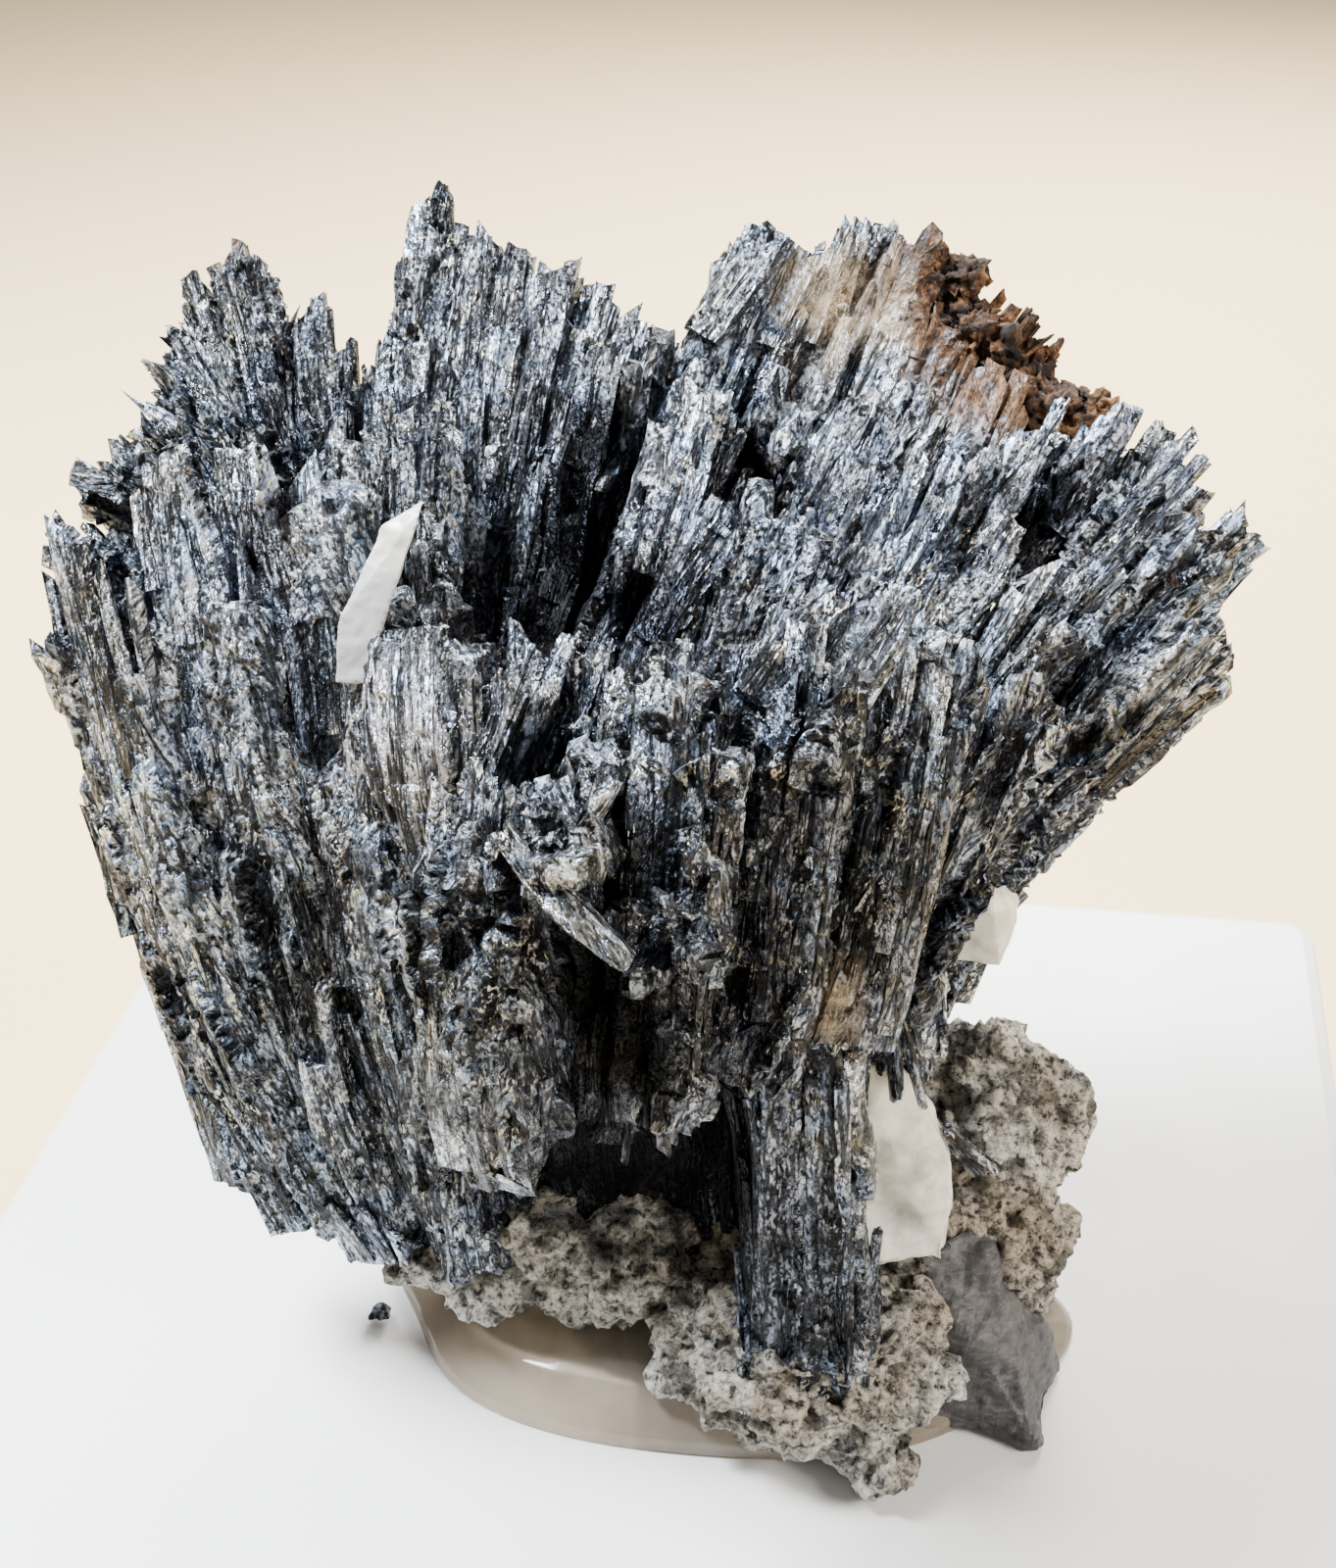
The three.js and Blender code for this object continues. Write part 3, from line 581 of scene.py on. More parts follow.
print(sum(len(rows) for rows in SHEAVES.values()), "bundles in", len(SHEAVES), "groups")

# %% [markdown]
# ## Following a bundle
# Everything in a bundle is given by how far along it lies, how far aside and how far outward. One
# function turns those three into a place: the root, plus the reach times t, plus a bow that is widest
# halfway, plus the two offsets. The same three numbers, with the first squeezed, are the growth value.

# %% Places in a bundle
SQUEEZE = 0.12  # how much shorter the pattern is along the growth direction


def numbered(rows, first):
    """Each row as a bundle with its running number, which seeds its scatter values."""
    return [(number, Sheaf(*row)) for number, row in enumerate(rows, first)]


def follow(bundle, t, aside, outward):
    """Place root + reach t + bow 4t(1 - t) + side aside + out outward, and its growth value."""
    fields = (bundle.root, bundle.tip, bundle.bow, bundle.across)
    root, tip, bow, across = (np.array(field, float) for field in fields)
    reach = tip - root
    length = np.linalg.norm(reach)
    along = reach / length
    side = across - along * (across @ along)
    side = side / np.linalg.norm(side)
    out = np.cross(side, along)
    spine = root + reach * t[..., None] + bow * (4 * t * (1 - t))[..., None]
    place = spine + side * aside[..., None] + out * outward[..., None]
    return place, np.stack([aside, outward, SQUEEZE * length * t], -1)


def tube_faces(tubes, stations, ring):
    """Quads and pole triangles of closed tubes, each stations x ring points and then two poles."""
    size = stations * ring + 2
    s, k = (x.ravel() for x in np.indices((stations - 1, ring)))
    n = (k + 1) % ring
    quads = np.stack([s * ring + k, s * ring + n, (s + 1) * ring + n, (s + 1) * ring + k], -1)
    k = np.arange(ring)
    n = (k + 1) % ring
    last = (stations - 1) * ring
    caps = np.concatenate(
        [
            np.stack([n, k, np.full(ring, size - 2)], -1),
            np.stack([last + k, last + n, np.full(ring, size - 1)], -1),
        ]
    )
    start = np.arange(tubes)[:, None, None] * size
    return (quads + start).reshape(-1, 4), (caps + start).reshape(-1, 3)


def tube_points(grid):
    """Adds each tube's two poles, which are the means of its end rings, and lists all points."""
    tubes, stations, ring, _ = grid.shape
    ends = grid[:, [0, -1]].mean(axis=2)
    return np.concatenate([grid.reshape(tubes, -1, 3), ends], axis=1).reshape(-1, 3)


def box_ring(ring, square=0.6):
    """A rounded box's outline: cosine and sine, each raised to a power that squares its corners."""
    angle = np.arange(ring) / ring * tau + 0.2  # a small turn, so that no point sits on a corner
    x = np.sign(np.cos(angle)) * np.abs(np.cos(angle)) ** square
    y = np.sign(np.sin(angle)) * np.abs(np.sin(angle)) ** square
    return x, y


def remember(piece, name, kind, key, values):
    """Stores a value or a vector on each vertex, for the finish to read."""
    attribute = piece.data.attributes.new(name, kind, "POINT")
    attribute.data.foreach_set(key, np.asarray(values, np.float32).ravel())


def remember_growth(piece, growth):
    """Stores the growth value on the vertices."""
    remember(piece, "growth", "FLOAT_VECTOR", "vector", growth)


print("a closed tube of 3 rings of 4 points has", sum(map(len, tube_faces(1, 3, 4))), "faces")

# %% [markdown]
# ## The grown-together body of each group
# Deep in the mass the blades have fused. Each CAD blade becomes a tube along its bundle, all tubes of a
# group are remeshed into one skin, and the skin is pushed in and out in flat steps. Joining the tubes
# by booleans would also give one skin, but slowly and with slivers where blades graze each other. The
# steps are read where each point's growth ray, drawn from the group's own centre, is squeezed, so their
# edges run along the rays. Where the skin faces outwards they are higher, which breaks the ends off
# unevenly.

# %% Blades and bodies
BLADE_OVERLAP = 1.3
BLADE_UNEVEN = 0.35
BLADE_STATIONS = 14
BLADE_RING = 8
BODY_LENGTH = 0.94  # of the blades, the rest being loose flakes
CROWN = 0.1  # how much shorter the outer blades of a bundle are than the middle ones
GROWTH_RADIUS = 40
FACE_STEPS = [(0.66, 2.4, 1), (0.4, 1.2, 5)]  # height, size, seed
END_STEPS = 1.6  # how much higher the steps are where the skin faces outwards
CALMED = 0.55  # how much less a smooth patch is pushed
GROUPS = {  # growth centre, remesh voxel, flakes for each square millimetre, widest flake
    "left_wall": ((-8, -6, -25), 0.42, 0.085, 3.6),
    "rosette": ((-22, 18, 44), 0.4, 0.2, 2.2),
    "back_row": ((-8, -8, 22), 0.42, 0.12, 3.4),
    "right_cluster": ((2, -6, 22), 0.4, 0.15, 3.0),
    "inner_rows": ((-3, -10, 22), 0.4, 0.14, 3.2),
    "front_bulge": ((0, -14, 14), 0.4, 0.11, 3.2),
    "column": ((12, -6, -90), 0.36, 0.16, 1.3),
    "rear_fan": ((0, -2, -5), 0.6, 0.07, 4.0),
}


blades = [Sheaf(*row).blades for rows in SHEAVES.values() for row in rows]
print("blades in all bundles:", sum(count * layers for count, layers in blades))


def blade_grid(bundle, number):
    """The CAD blades of one bundle as tubes: blade by station by ring by xyz."""
    wide, deep, (count, layers) = bundle.wide, bundle.deep, bundle.blades
    i, j = (x.ravel() for x in np.indices((count, layers)))
    seed = number * 31 + i * 7 + j * 3
    u = (i + 0.5) / count - 0.5
    w = (j + 0.5) / layers - 0.5 + (scatter(seed, 1) - 0.5) * BLADE_UNEVEN
    length = (1 - bundle.ragged * scatter(seed, 2)) * (1 - CROWN * (2 * u) ** 2) * BODY_LENGTH
    t = length[:, None, None] * np.linspace(0, 1, BLADE_STATIONS)[:, None]
    t = t + np.zeros(BLADE_RING)
    x, y = box_ring(BLADE_RING)
    bundle_wide = wide[0] + (wide[1] - wide[0]) * t
    bundle_deep = deep[0] + (deep[1] - deep[0]) * t
    aside = bundle_wide * (u[:, None, None] + x * BLADE_OVERLAP / count / 2)
    outward = bundle_deep * (w[:, None, None] / 2 + y / layers / 2)
    return follow(bundle, t, aside, outward)[0]


def mesh_arrays(piece):
    """Vertex places in block-top millimetres, and their normals."""
    mesh = piece.data
    place = np.empty(len(mesh.vertices) * 3)
    normal = np.empty(len(mesh.vertices) * 3, np.float32)
    mesh.vertices.foreach_get("co", place)
    mesh.vertex_normals.foreach_get("vector", normal)
    return (place.reshape(-1, 3) - (0, 0, BLOCK_TOP)) / MM, normal.reshape(-1, 3)


def move_to(piece, place):
    """Puts the vertices at places in block-top millimetres."""
    piece.data.vertices.foreach_set("co", to_metres(place).ravel())
    piece.data.update()


def one_skin(piece, voxel_mm):
    """Remeshes everything in a piece into one closed skin of even cells."""
    remesh = piece.modifiers.new("one_skin", "REMESH")
    remesh.mode = "VOXEL"
    remesh.voxel_size = voxel_mm * MM
    seen = piece.evaluated_get(bpy.context.evaluated_depsgraph_get())
    shaped = bpy.data.meshes.new_from_object(seen)
    piece.modifiers.clear()
    piece.data = shaped


def shade(piece, smooth):
    """Shades all faces of a piece smooth or flat."""
    faces = piece.data.polygons
    faces.foreach_set("use_smooth", np.full(len(faces), smooth))


def roughen(piece, layers):
    """Moves a skin along its normals by one layer of noise after another.
    A layer is its height and size in millimetres, how many octaves it has, and its seed."""
    for height, size, octaves, seed in layers:
        place, normal = mesh_arrays(piece)
        move_to(piece, place + normal * (height * rocky(place, size, octaves, seed))[:, None])


def broken(points, cell, seed):
    """One value from -1 to 1 for each cell of a lattice bent by noise, so flat steps with edges."""
    bend = np.stack([noise(points, 2.2 * cell, seed + k) for k in range(3)], -1)
    corner = np.floor(points / cell + 0.6 * bend + seed * 3.3)
    return lattice_value(corner, 0.7 * seed) * 2 - 1


def grown_body(name, bundles, centre, voxel):
    """One skin of all blades of a group, stepped and ridged along the rays from the group's centre."""
    grid = np.concatenate([blade_grid(bundle, number) for number, bundle in bundles])
    piece = make_mesh(name, tube_points(grid), tube_faces(len(grid), BLADE_STATIONS, BLADE_RING))
    one_skin(piece, voxel)
    place, normal = mesh_arrays(piece)
    ray = place - centre
    away = np.linalg.norm(ray, axis=1, keepdims=True)
    growth = ray / away * (GROWTH_RADIUS + SQUEEZE * away)
    facing_out = np.clip(((normal * ray / away).sum(axis=1) - 0.4) / 0.4, 0, 1)
    steps = sum(height * broken(growth, size, seed) for height, size, seed in FACE_STEPS)
    ridges = 0.32 * rocky(growth, 0.8, 3, 4)
    grain = 0.06 * rocky(place, 0.9, 2, 8)
    push = (steps * (1 + END_STEPS * facing_out) + ridges + grain) * (1 - CALMED * smoothness(place))
    move_to(piece, sink(place + normal * push[:, None]))
    shade(piece, False)
    remember_growth(piece, growth)
    return piece


# %% [markdown]
# ## Loose flakes and needles
# What makes the mass look sharp is the thin flakes on it. A flake is a flat tube that starts somewhere
# along the bundle, near the outside of it, drifts a little off the bundle's direction, lifts at its tip
# and ends in a slanted break. Most are short, some are needles, and the last ones pass the body's end.
# Particles would scatter them with less code, but a particle isn't a mesh that can leave Blender.

# %% Flakes
FLAKE_RING = 6
FLAKE_STATIONS = 6
SHORTEST_FLAKE, LONGEST_FLAKE = 5, 22
THINNEST = 0.22  # the least half-width
FLAKE_LIFT, FLAKE_DRIFT, FLAKE_SLANT, FLAKE_TURN = 0.7, 1.4, 2.4, 0.8
LAST_PART = 0.88  # flakes that end beyond this share of the bundle are never mere needles
CALM_SHARE = 0.9  # how many of the flakes a smooth patch loses, but for those that end beyond KEPT_PART
KEPT_PART = 0.9
OWN_PATTERN = (3.7, 1.9, 2.3)  # moves the growth value of each flake, so that no two look alike
print("a flake has", 2 * FLAKE_STATIONS * FLAKE_RING, "triangles")


def flake_spots(own, reach):
    """Where on its bundle each flake starts and ends, and on which side: the point of a rounded
    square's outline that lies in a random direction, a little inside."""
    finish_t = 0.99 - 0.96 * scatter(own, 1) ** 1.4
    span = (SHORTEST_FLAKE + (LONGEST_FLAKE - SHORTEST_FLAKE) * scatter(own, 2) ** 1.5) / reach
    turn = scatter(own, 3) * tau
    across, outside = np.cos(turn), np.sin(turn)
    largest = np.maximum(np.abs(across), np.abs(outside)) / (0.7 + 0.24 * scatter(own, 4))
    across, outside = across / largest, outside / largest
    finish_t = finish_t * (1 - CROWN * across**2)
    return np.maximum(finish_t - span, 0), finish_t, across, outside


def flake_half_width(own, finish_t, widest):
    """Thin for most flakes, since the scatter is squared, and never the thinnest near the end."""
    half_wide = THINNEST + (widest / 2 - THINNEST) * scatter(own, 5) ** 2
    end_wide = widest * (0.12 + 0.22 * scatter(own, 12))
    return np.where(finish_t > LAST_PART, np.maximum(half_wide, end_wide), half_wide)


def flake_section(own, s, half_wide):
    """A rounded box's outline, chipped at random and tapered by the square of the way along."""
    half_thick = 0.14 + 0.26 * scatter(own, 6) + 0.16 * half_wide
    x, y = box_ring(FLAKE_RING, 0.7)
    chip = 1 + 0.22 * (scatter(own + s * 37.0, np.arange(FLAKE_RING) * 1.3) - 0.5)
    taper = 1 - 0.45 * scatter(own, 7) * s**2
    return x * half_wide * taper * chip, y * half_thick * taper * chip


def flake_grid(bundle, number, density, widest):
    """The flakes of one bundle: flake by station by ring by xyz, and their growth values."""
    wide, deep = np.array(bundle.wide, float), np.array(bundle.deep, float)
    reach = np.linalg.norm(np.array(bundle.tip, float) - np.array(bundle.root, float))
    count = int(density * 2 * reach * (wide.mean() + deep.mean()))
    own = (number * 61.7 + np.arange(count) * 1.37)[:, None, None]
    start_t, finish_t, across, outside = flake_spots(own, reach)
    half_wide = flake_half_width(own, finish_t, widest)
    s = np.linspace(0, 1, FLAKE_STATIONS)[:, None]
    flat_x, flat_y = flake_section(own, s, half_wide)
    on_side = np.abs(across) > np.abs(outside)
    turned = np.where(on_side, pi / 2, 0) + (scatter(own, 8) - 0.5) * FLAKE_TURN
    local_x = flat_x * np.cos(turned) - flat_y * np.sin(turned)
    local_y = flat_x * np.sin(turned) + flat_y * np.cos(turned)
    lift = FLAKE_LIFT * scatter(own, 9) * s**1.5
    drift = FLAKE_DRIFT * (scatter(own, 10) - 0.5) * s
    half_way = (start_t + finish_t) / 2
    half_bundle_wide = (wide[0] + (wide[1] - wide[0]) * half_way) / 2
    half_bundle_deep = (deep[0] + (deep[1] - deep[0]) * half_way) / 2
    aside = across * half_bundle_wide + local_x + drift + np.where(on_side, np.sign(across) * lift, 0)
    outward = outside * half_bundle_deep + local_y + np.where(on_side, 0, np.sign(outside) * lift)
    slant = (scatter(own, 11) - 0.5) * FLAKE_SLANT * flat_x * s**4
    ring = np.arange(FLAKE_RING)
    jag = (scatter(own, ring * 2.1 + 5) - 0.5) * (0.2 + 0.5 * half_wide) * s**6
    t = start_t + (finish_t - start_t) * s + (slant + jag) / reach
    place, growth = follow(bundle, t, aside, outward)
    calm = smoothness(place.mean(axis=(1, 2))) * CALM_SHARE
    kept = (calm < scatter(own, 13).ravel()) | (finish_t.ravel() > KEPT_PART)
    for centre, clear in CLEARINGS:
        kept &= np.linalg.norm(place - centre, axis=-1).min(axis=(1, 2)) > clear
    return place[kept], (growth + own[..., None] * OWN_PATTERN)[kept]


def flakes(name, bundles, density, widest):
    """One piece from all flakes of a group of numbered bundles."""
    grids, growths = zip(*(flake_grid(bundle, number, density, widest) for number, bundle in bundles))
    grid, growth = np.concatenate(grids), np.concatenate(growths)
    faces = tube_faces(len(grid), FLAKE_STATIONS, FLAKE_RING)
    piece = make_mesh(name, sink(tube_points(grid)), faces, smooth=False)
    remember_growth(piece, tube_points(growth))
    return piece


# %% [markdown]
# ## A few broad blades
# Some blades are so large that one knows the specimen by them: the smooth panel on the wall, the pointed
# blade beside the bulge, and the pale one that lies across it. Each is one row of a table, a tube like
# the flakes but with more points, whose width is given at its root, middle and tip, and which is
# crumpled along its normals.

# %% Broad blades
BROAD_STATIONS = 44
BROAD_RING = 28
Blade = namedtuple("Blade", "root tip across half_wide half_thick bow", defaults=[STRAIGHT])
BROAD_BLADES = [  # root, tip, across, half-widths at root, middle and tip, half-thickness, bow if any
    [[-10.2, -2.4, 39], [-12.4, 4.6, 51.6], [0.9, -0.4, 0], [1.0, 3.3, 3.1], 0.8, [0, -1.4, 0.8]],
    [[-5.8, -10, 44.5], [-0.9, -2.4, 56], [0.8, 0.3, -0.5], [1.6, 1.7, 0.35], 0.6, [0, -0.6, 0]],
    [[-0.8, -17.8, 54.6], [5.6, -20.8, 49.6], [0.5, 0.5, 0.9], [0.5, 0.8, 0.55], 0.5, [0.4, -0.6, -0.4]],
    [[-6, 18, 50], [-1.2, 27, 60.5], [0.9, -0.3, -0.3], [1.4, 1.6, 0.2], 0.7],
    [[-17.6, 28, 55], [-17, 36, 67.6], [1, 0, 0.1], [2.2, 2.0, 0.3], 0.8],
    [[12, 10, 50], [17.5, 20, 59], [0.9, -0.4, 0], [1.2, 1.3, 0.5], 0.6],
    [[15, 9, 49], [20, 18.5, 58], [0.8, -0.5, 0], [1.0, 1.1, 0.4], 0.6],
    [[-25.4, 5.6, 45.8], [-29, 12, 58.4], [0.9, -0.4, 0], [2.4, 2.6, 1.6], 0.9],
    [[-20.4, 5.6, 44.8], [-24.5, 13, 58.8], [0.9, -0.4, 0], [2.2, 2.5, 1.8], 0.9],
    [[17.8, 12.6, 53.4], [21.7, 21.0, 57.5], [0.98, 0.17, 0], [0.5, 0.7, 0.4], 0.5],
    [[20.2, 13.8, 53.6], [23.2, 21.5, 56.3], [0.98, 0.17, 0], [0.6, 0.8, 0.5], 0.6],
    [[24.4, 18.2, 52.8], [28.6, 24.4, 58.2], [0.9, 0.1, -0.3], [0.9, 1.0, 0.8], 0.7],
    [[27.2, 17.8, 52], [30.9, 25.0, 56.7], [0.9, 0.1, -0.3], [1.0, 1.1, 0.7], 0.7],
    [[16, 12.6, 53], [19.9, 20.5, 56.5], [0.98, 0.17, 0], [0.5, 0.6, 0.4], 0.5],
    [[-3.8, 17.6, 54.4], [-1.6, 27, 59.2], [0.98, 0.17, 0], [0.9, 1.0, 0.3], 0.6],
    [[-0.6, 21.6, 54.4], [1.4, 27.6, 59.2], [0.98, 0.17, 0], [0.8, 0.9, 0.5], 0.6],
    [[1.4, 29, 60], [5.6, 35.2, 65], [0.98, 0.17, 0], [1.2, 1.4, 0.9], 0.8],
    [[1, 9.4, 48.8], [5.2, 15, 55.2], [0.98, 0.17, 0], [1.3, 1.7, 1.4], 0.8],
    [[9.6, -5.4, 54.4], [13.3, 0.5, 57.8], [0.98, 0.17, 0], [1.4, 1.6, 1.0], 0.9],
    [[14.2, -4.2, 54.8], [16.8, 1.5, 57.7], [0.98, 0.17, 0], [1.2, 1.3, 0.9], 0.9],
    [[18.2, 0, 49], [20.2, 4, 53.2], [0.98, 0.17, 0], [0.6, 0.7, 0.5], 0.6],
    [[25, 8.4, 44.6], [29.2, 13.4, 49.2], [0.9, 0.1, -0.3], [0.8, 0.9, 0.6], 0.6],
    [[29.4, 10.2, 44.2], [34, 13.4, 48.8], [0.9, 0.1, -0.3], [0.8, 0.9, 0.6], 0.6],
    [[11, -10.4, 8], [11.2, -8.4, 34], [1, 0.1, 0], [1.6, 1.2, 1.0], 0.8, [0, -0.6, 0]],
    [[14, -10.2, 8], [13.2, -8, 34], [1, 0.3, 0], [1.5, 1.1, 1.0], 0.8, [0, -0.6, 0]],
]


print(len(BROAD_BLADES), "broad blades of", 2 * BROAD_STATIONS * BROAD_RING, "triangles")


def broad_blade_grid(blade, own):
    """One broad blade: station by ring by xyz. Its half-width is a blend of three along its length."""
    s = np.linspace(0, 1, BROAD_STATIONS)[:, None]
    x, y = box_ring(BROAD_RING, 0.5)
    half_wide = np.interp(s, [0, 0.5, 1], blade.half_wide)
    ragged = 1 + 0.12 * (scatter(np.floor(s * 9) + own, 3) - 0.5)
    slant = 0.5 * (scatter(own, 4) - 0.5) * x
    jag = 0.16 * (scatter(own, np.arange(BROAD_RING)) - 0.5)
    end = (slant + jag) * s**8 * half_wide
    length = np.linalg.norm(np.array(blade.tip, float) - np.array(blade.root, float))
    outward = y * blade.half_thick * (1 - 0.5 * s**6)
    return follow(blade, s + end / length, x * half_wide * ragged, outward)


def broad_blades():
    """All broad blades as one piece, stepped and crumpled along the normals."""
    rows = enumerate(BROAD_BLADES, 500)
    grids, growths = zip(*(broad_blade_grid(Blade(*row), own) for own, row in rows))
    growth = tube_points(np.stack([g + 9.1 * k for k, g in enumerate(growths)]))
    faces = tube_faces(len(grids), BROAD_STATIONS, BROAD_RING)
    piece = make_mesh("broad_blades", tube_points(np.stack(grids)), faces, smooth=False)
    place, normal = mesh_arrays(piece)
    push = 0.26 * broken(growth, 0.8, 3) + 0.16 * rocky(growth, 0.5, 2, 6)
    move_to(piece, place + normal * push[:, None])
    remember_growth(piece, growth)
    return piece


# %% [markdown]
# ## All the crystals
# The bundles are made group by group, a body and its flakes, because each group has its own growth
# centre and its own size of flake. One mesh for everything would be too heavy to handle. Fine fringes
# hang from the bulge and the neck, and a few needles lie strewn on the rock. They are bundles too, with
# flakes but no body.

# %% Bodies, flakes and broad blades
crystals = []
first = 0
for group, rows in SHEAVES.items():
    centre, voxel, density, widest = GROUPS[group]
    bundles = numbered(rows, first)
    first += len(rows)
    crystals.append(grown_body(f"stibnite_{group}", bundles, centre, voxel))
    crystals.append(flakes(f"flakes_{group}", bundles, density, widest))

crystals.append(broad_blades())

# %% Fringes that hang from the bulge and the neck
FRINGES = [
    [[-3, -16.5, 40], [-3.2, -18.6, 30.5], [1, 0, 0], [4, 2], [4, 2.4]],
    [[4.4, -14.5, 42], [4.2, -16.5, 33], [1, 0, 0], [6, 4], [5, 3]],
    [[17.5, 0.5, 33], [19.5, -2, 24], [0.8, 0.4, 0], [3, 4], [2, 2]],
    [[19.5, 0, 19], [23, 1.6, 13], [0.6, 0.6, 0.4], [2, 4], [2, 2]],
]
crystals.append(flakes("hanging_fringes", numbered(FRINGES, 300), density=0.4, widest=0.9))
STREWN = [
    [[12, -8.6, 13], [10, -11, 10], [1, 0, 0], [4, 5], [2, 2]],
    [[13.4, -8.6, 13], [15, -11, 9.5], [0.8, -0.6, 0], [4, 5], [2, 2]],
]
crystals.append(flakes("strewn_needles", numbered(STREWN, 320), density=0.4, widest=0.8))
print("crystal pieces:", [piece.name for piece in crystals])

# %% [markdown]
# ## The core
# Between the bundles the blades have grown together. A lofted sack inside the fan keeps light from
# leaking through. It is a circle carried up a list of levels, each with its own centre and widths,
# which is all that a form needs that one only glimpses between the blades.

# %% The grown-together core
CORE = [  # height, centre x and y, half width and half depth
    (4, 0, 0, 11, 3.5),
    (16, -3, 1, 13, 4.5),
    (28, -3, 4, 18, 6.5),
    (38, -1, 9, 23, 12),
    (43, 0, 14, 24, 15),
    (45.5, 0, 16, 17, 9),
]
CORE_RING = 96
CORE_LEVELS = 70
CORE_RIPPLE = 1.2


def loft(levels, ring, steps, ripple):
    """Rings between levels by straight blends of centre and widths, pushed in and out by noise."""
    table = np.array(levels, float)
    height = np.linspace(table[0, 0], table[-1, 0], steps)
    cx, cy, wide, deep = (np.interp(height, table[:, 0], table[:, k]) for k in range(1, 5))
    angle = np.arange(ring) / ring * tau
    x = cx[:, None] + wide[:, None] * np.cos(angle)
    y = cy[:, None] + deep[:, None] * np.sin(angle)
    grid = np.stack([x, y, np.broadcast_to(height[:, None], x.shape)], -1)
    push = ripple * rocky(grid * (2.2, 2.2, 0.5), 5.0, 4, seed=3)
    return grid + np.stack([np.cos(angle), np.sin(angle), 0 * angle], -1) * push[..., None]


core_grid = loft(CORE, CORE_RING, CORE_LEVELS, CORE_RIPPLE)[None]
core = make_mesh("stibnite_core", tube_points(core_grid), tube_faces(1, CORE_LEVELS, CORE_RING))
remember_growth(core, mesh_arrays(core)[0] * (1, 1, SQUEEZE))
crystals.append(core)


# %% [markdown]
# ## Openness and painted shade
# Light hardly reaches the bottom of a fan of blades. To know how open a place is, the crystals are
# sorted into one-millimetre cells, full or empty. Then each cell looks out in 26 directions, twelve
# cells far, and every full cell on the way takes light from that direction. The mean, in which the
# upward directions count most, goes onto the vertices, and the finish paints shade by it. The hollows,
# the gaps and the shaded places lower it further, for more painted shade. The Ambient Occlusion node
# does the like while rendering, but a value on the vertices stays with the mesh wherever it goes.

# %% Openness from full and empty cells
CELLS = (104, 104, 84)
CELL_ORIGIN = (-52, -52, -6)
LOOK_FAR = 12
STOPPED = 0.5  # the share of the light that one full cell stops
UPWARD = 0.95  # how much more the light from above counts
LOOK_FROM = (1.0, 2.2)  # how far outside the skin the openness is read
HOLLOW_SHADE = 0.93
GAP_SHADE = 0.97
RUST_REACH, CREAM_REACH, TAN_REACH = 6.8, 3.8, 2.6
TAN_STRENGTH = 0.45


def cell_of(place):
    """The numbers of the cells that places in millimetres lie in."""
    return tuple(np.clip((place - CELL_ORIGIN).astype(int), 0, np.array(CELLS) - 1).T)


def open_share(full):
    """The share of light that arrives in each cell: a weighted mean over directions of what passes."""
    border = LOOK_FAR + 1
    padded = np.pad(full, border)
    total, weights = np.zeros(CELLS), 0.0
    for way in np.ndindex(3, 3, 3):
        step = np.array(way) - 1
        if not step.any():
            continue
        passed = np.ones(CELLS)
        for k in range(2, LOOK_FAR + 1):  # the nearest cell is the skin's own, so it doesn't count
            window = tuple(slice(border + k * s, border + k * s + n) for s, n in zip(step, CELLS))
            passed *= 1 - STOPPED * padded[window]
        weight = 1 + UPWARD * step[2] / np.linalg.norm(step)
        total += weight * passed
        weights += weight
    return total / weights


def openness_of(place, normal, lit):
    """The mean of the openness at two distances outside the skin, less in hollows, gaps and shades."""
    near, far = (lit[cell_of(place + normal * out)] for out in LOOK_FROM)
    openness = (near + far) / 2
    # painted shade: hollows, gaps and shaded places lower the openness, which darkens the colour
    for centre, reach, _ in HOLLOWS:
        openness *= 1 - HOLLOW_SHADE * share_near(place, centre, reach * 1.1, 0.3)
    for ends, reach in SHADED_GAPS:
        openness *= 1 - GAP_SHADE * share_along(place, ends, reach, 0.5)
    for centre, reach, stays in SHADES:
        openness *= 1 - (1 - stays) * share_near(place, centre, reach, 0.5)
    return openness


def patches_of(place):
    """How smooth, how rusty and how cream-stained each place is."""
    rusty = np.max([share_near(place, *spot) for spot in RUST_SPOTS], axis=0)
    rusty = np.maximum(rusty, share_along(place, RUST_PATH, RUST_REACH))
    tan = TAN_STRENGTH * share_along(place, TAN_PATH, TAN_REACH)
    creamy = np.maximum(share_along(place, CREAM_PATH, CREAM_REACH), tan)
    return np.stack([smoothness(place), rusty, creamy], -1)


full = np.zeros(CELLS)
for piece in crystals:
    full[cell_of(mesh_arrays(piece)[0])] = 1.0
lit = open_share(full)
for piece in crystals:
    place, normal = mesh_arrays(piece)
    openness = openness_of(place, normal, lit)
    remember(piece, "openness", "FLOAT", "value", openness)
    remember(piece, "patches", "FLOAT_VECTOR", "vector", patches_of(place))
    settle(piece, STIBNITE, "stibnite", "stibnite_crystals")
    print("openness", np.round(np.percentile(openness, (5, 50, 95)), 2))

# %% [markdown]
# ## Rock
# The matrix is a crumbly altered rock, with a granular crust. One displaced ball would look like one
# potato. A lump here is a ball given by two angles, stretched to three half-widths, with rocky noise
# along its radius. Several overlapping lumps are remeshed into one skin, and finer noise is added to
# that skin, so that no seam shows between them.

# %% Lumps
BALL_ROWS = 48
BALL_RING = 64
BALL_ROUGH = 0.2


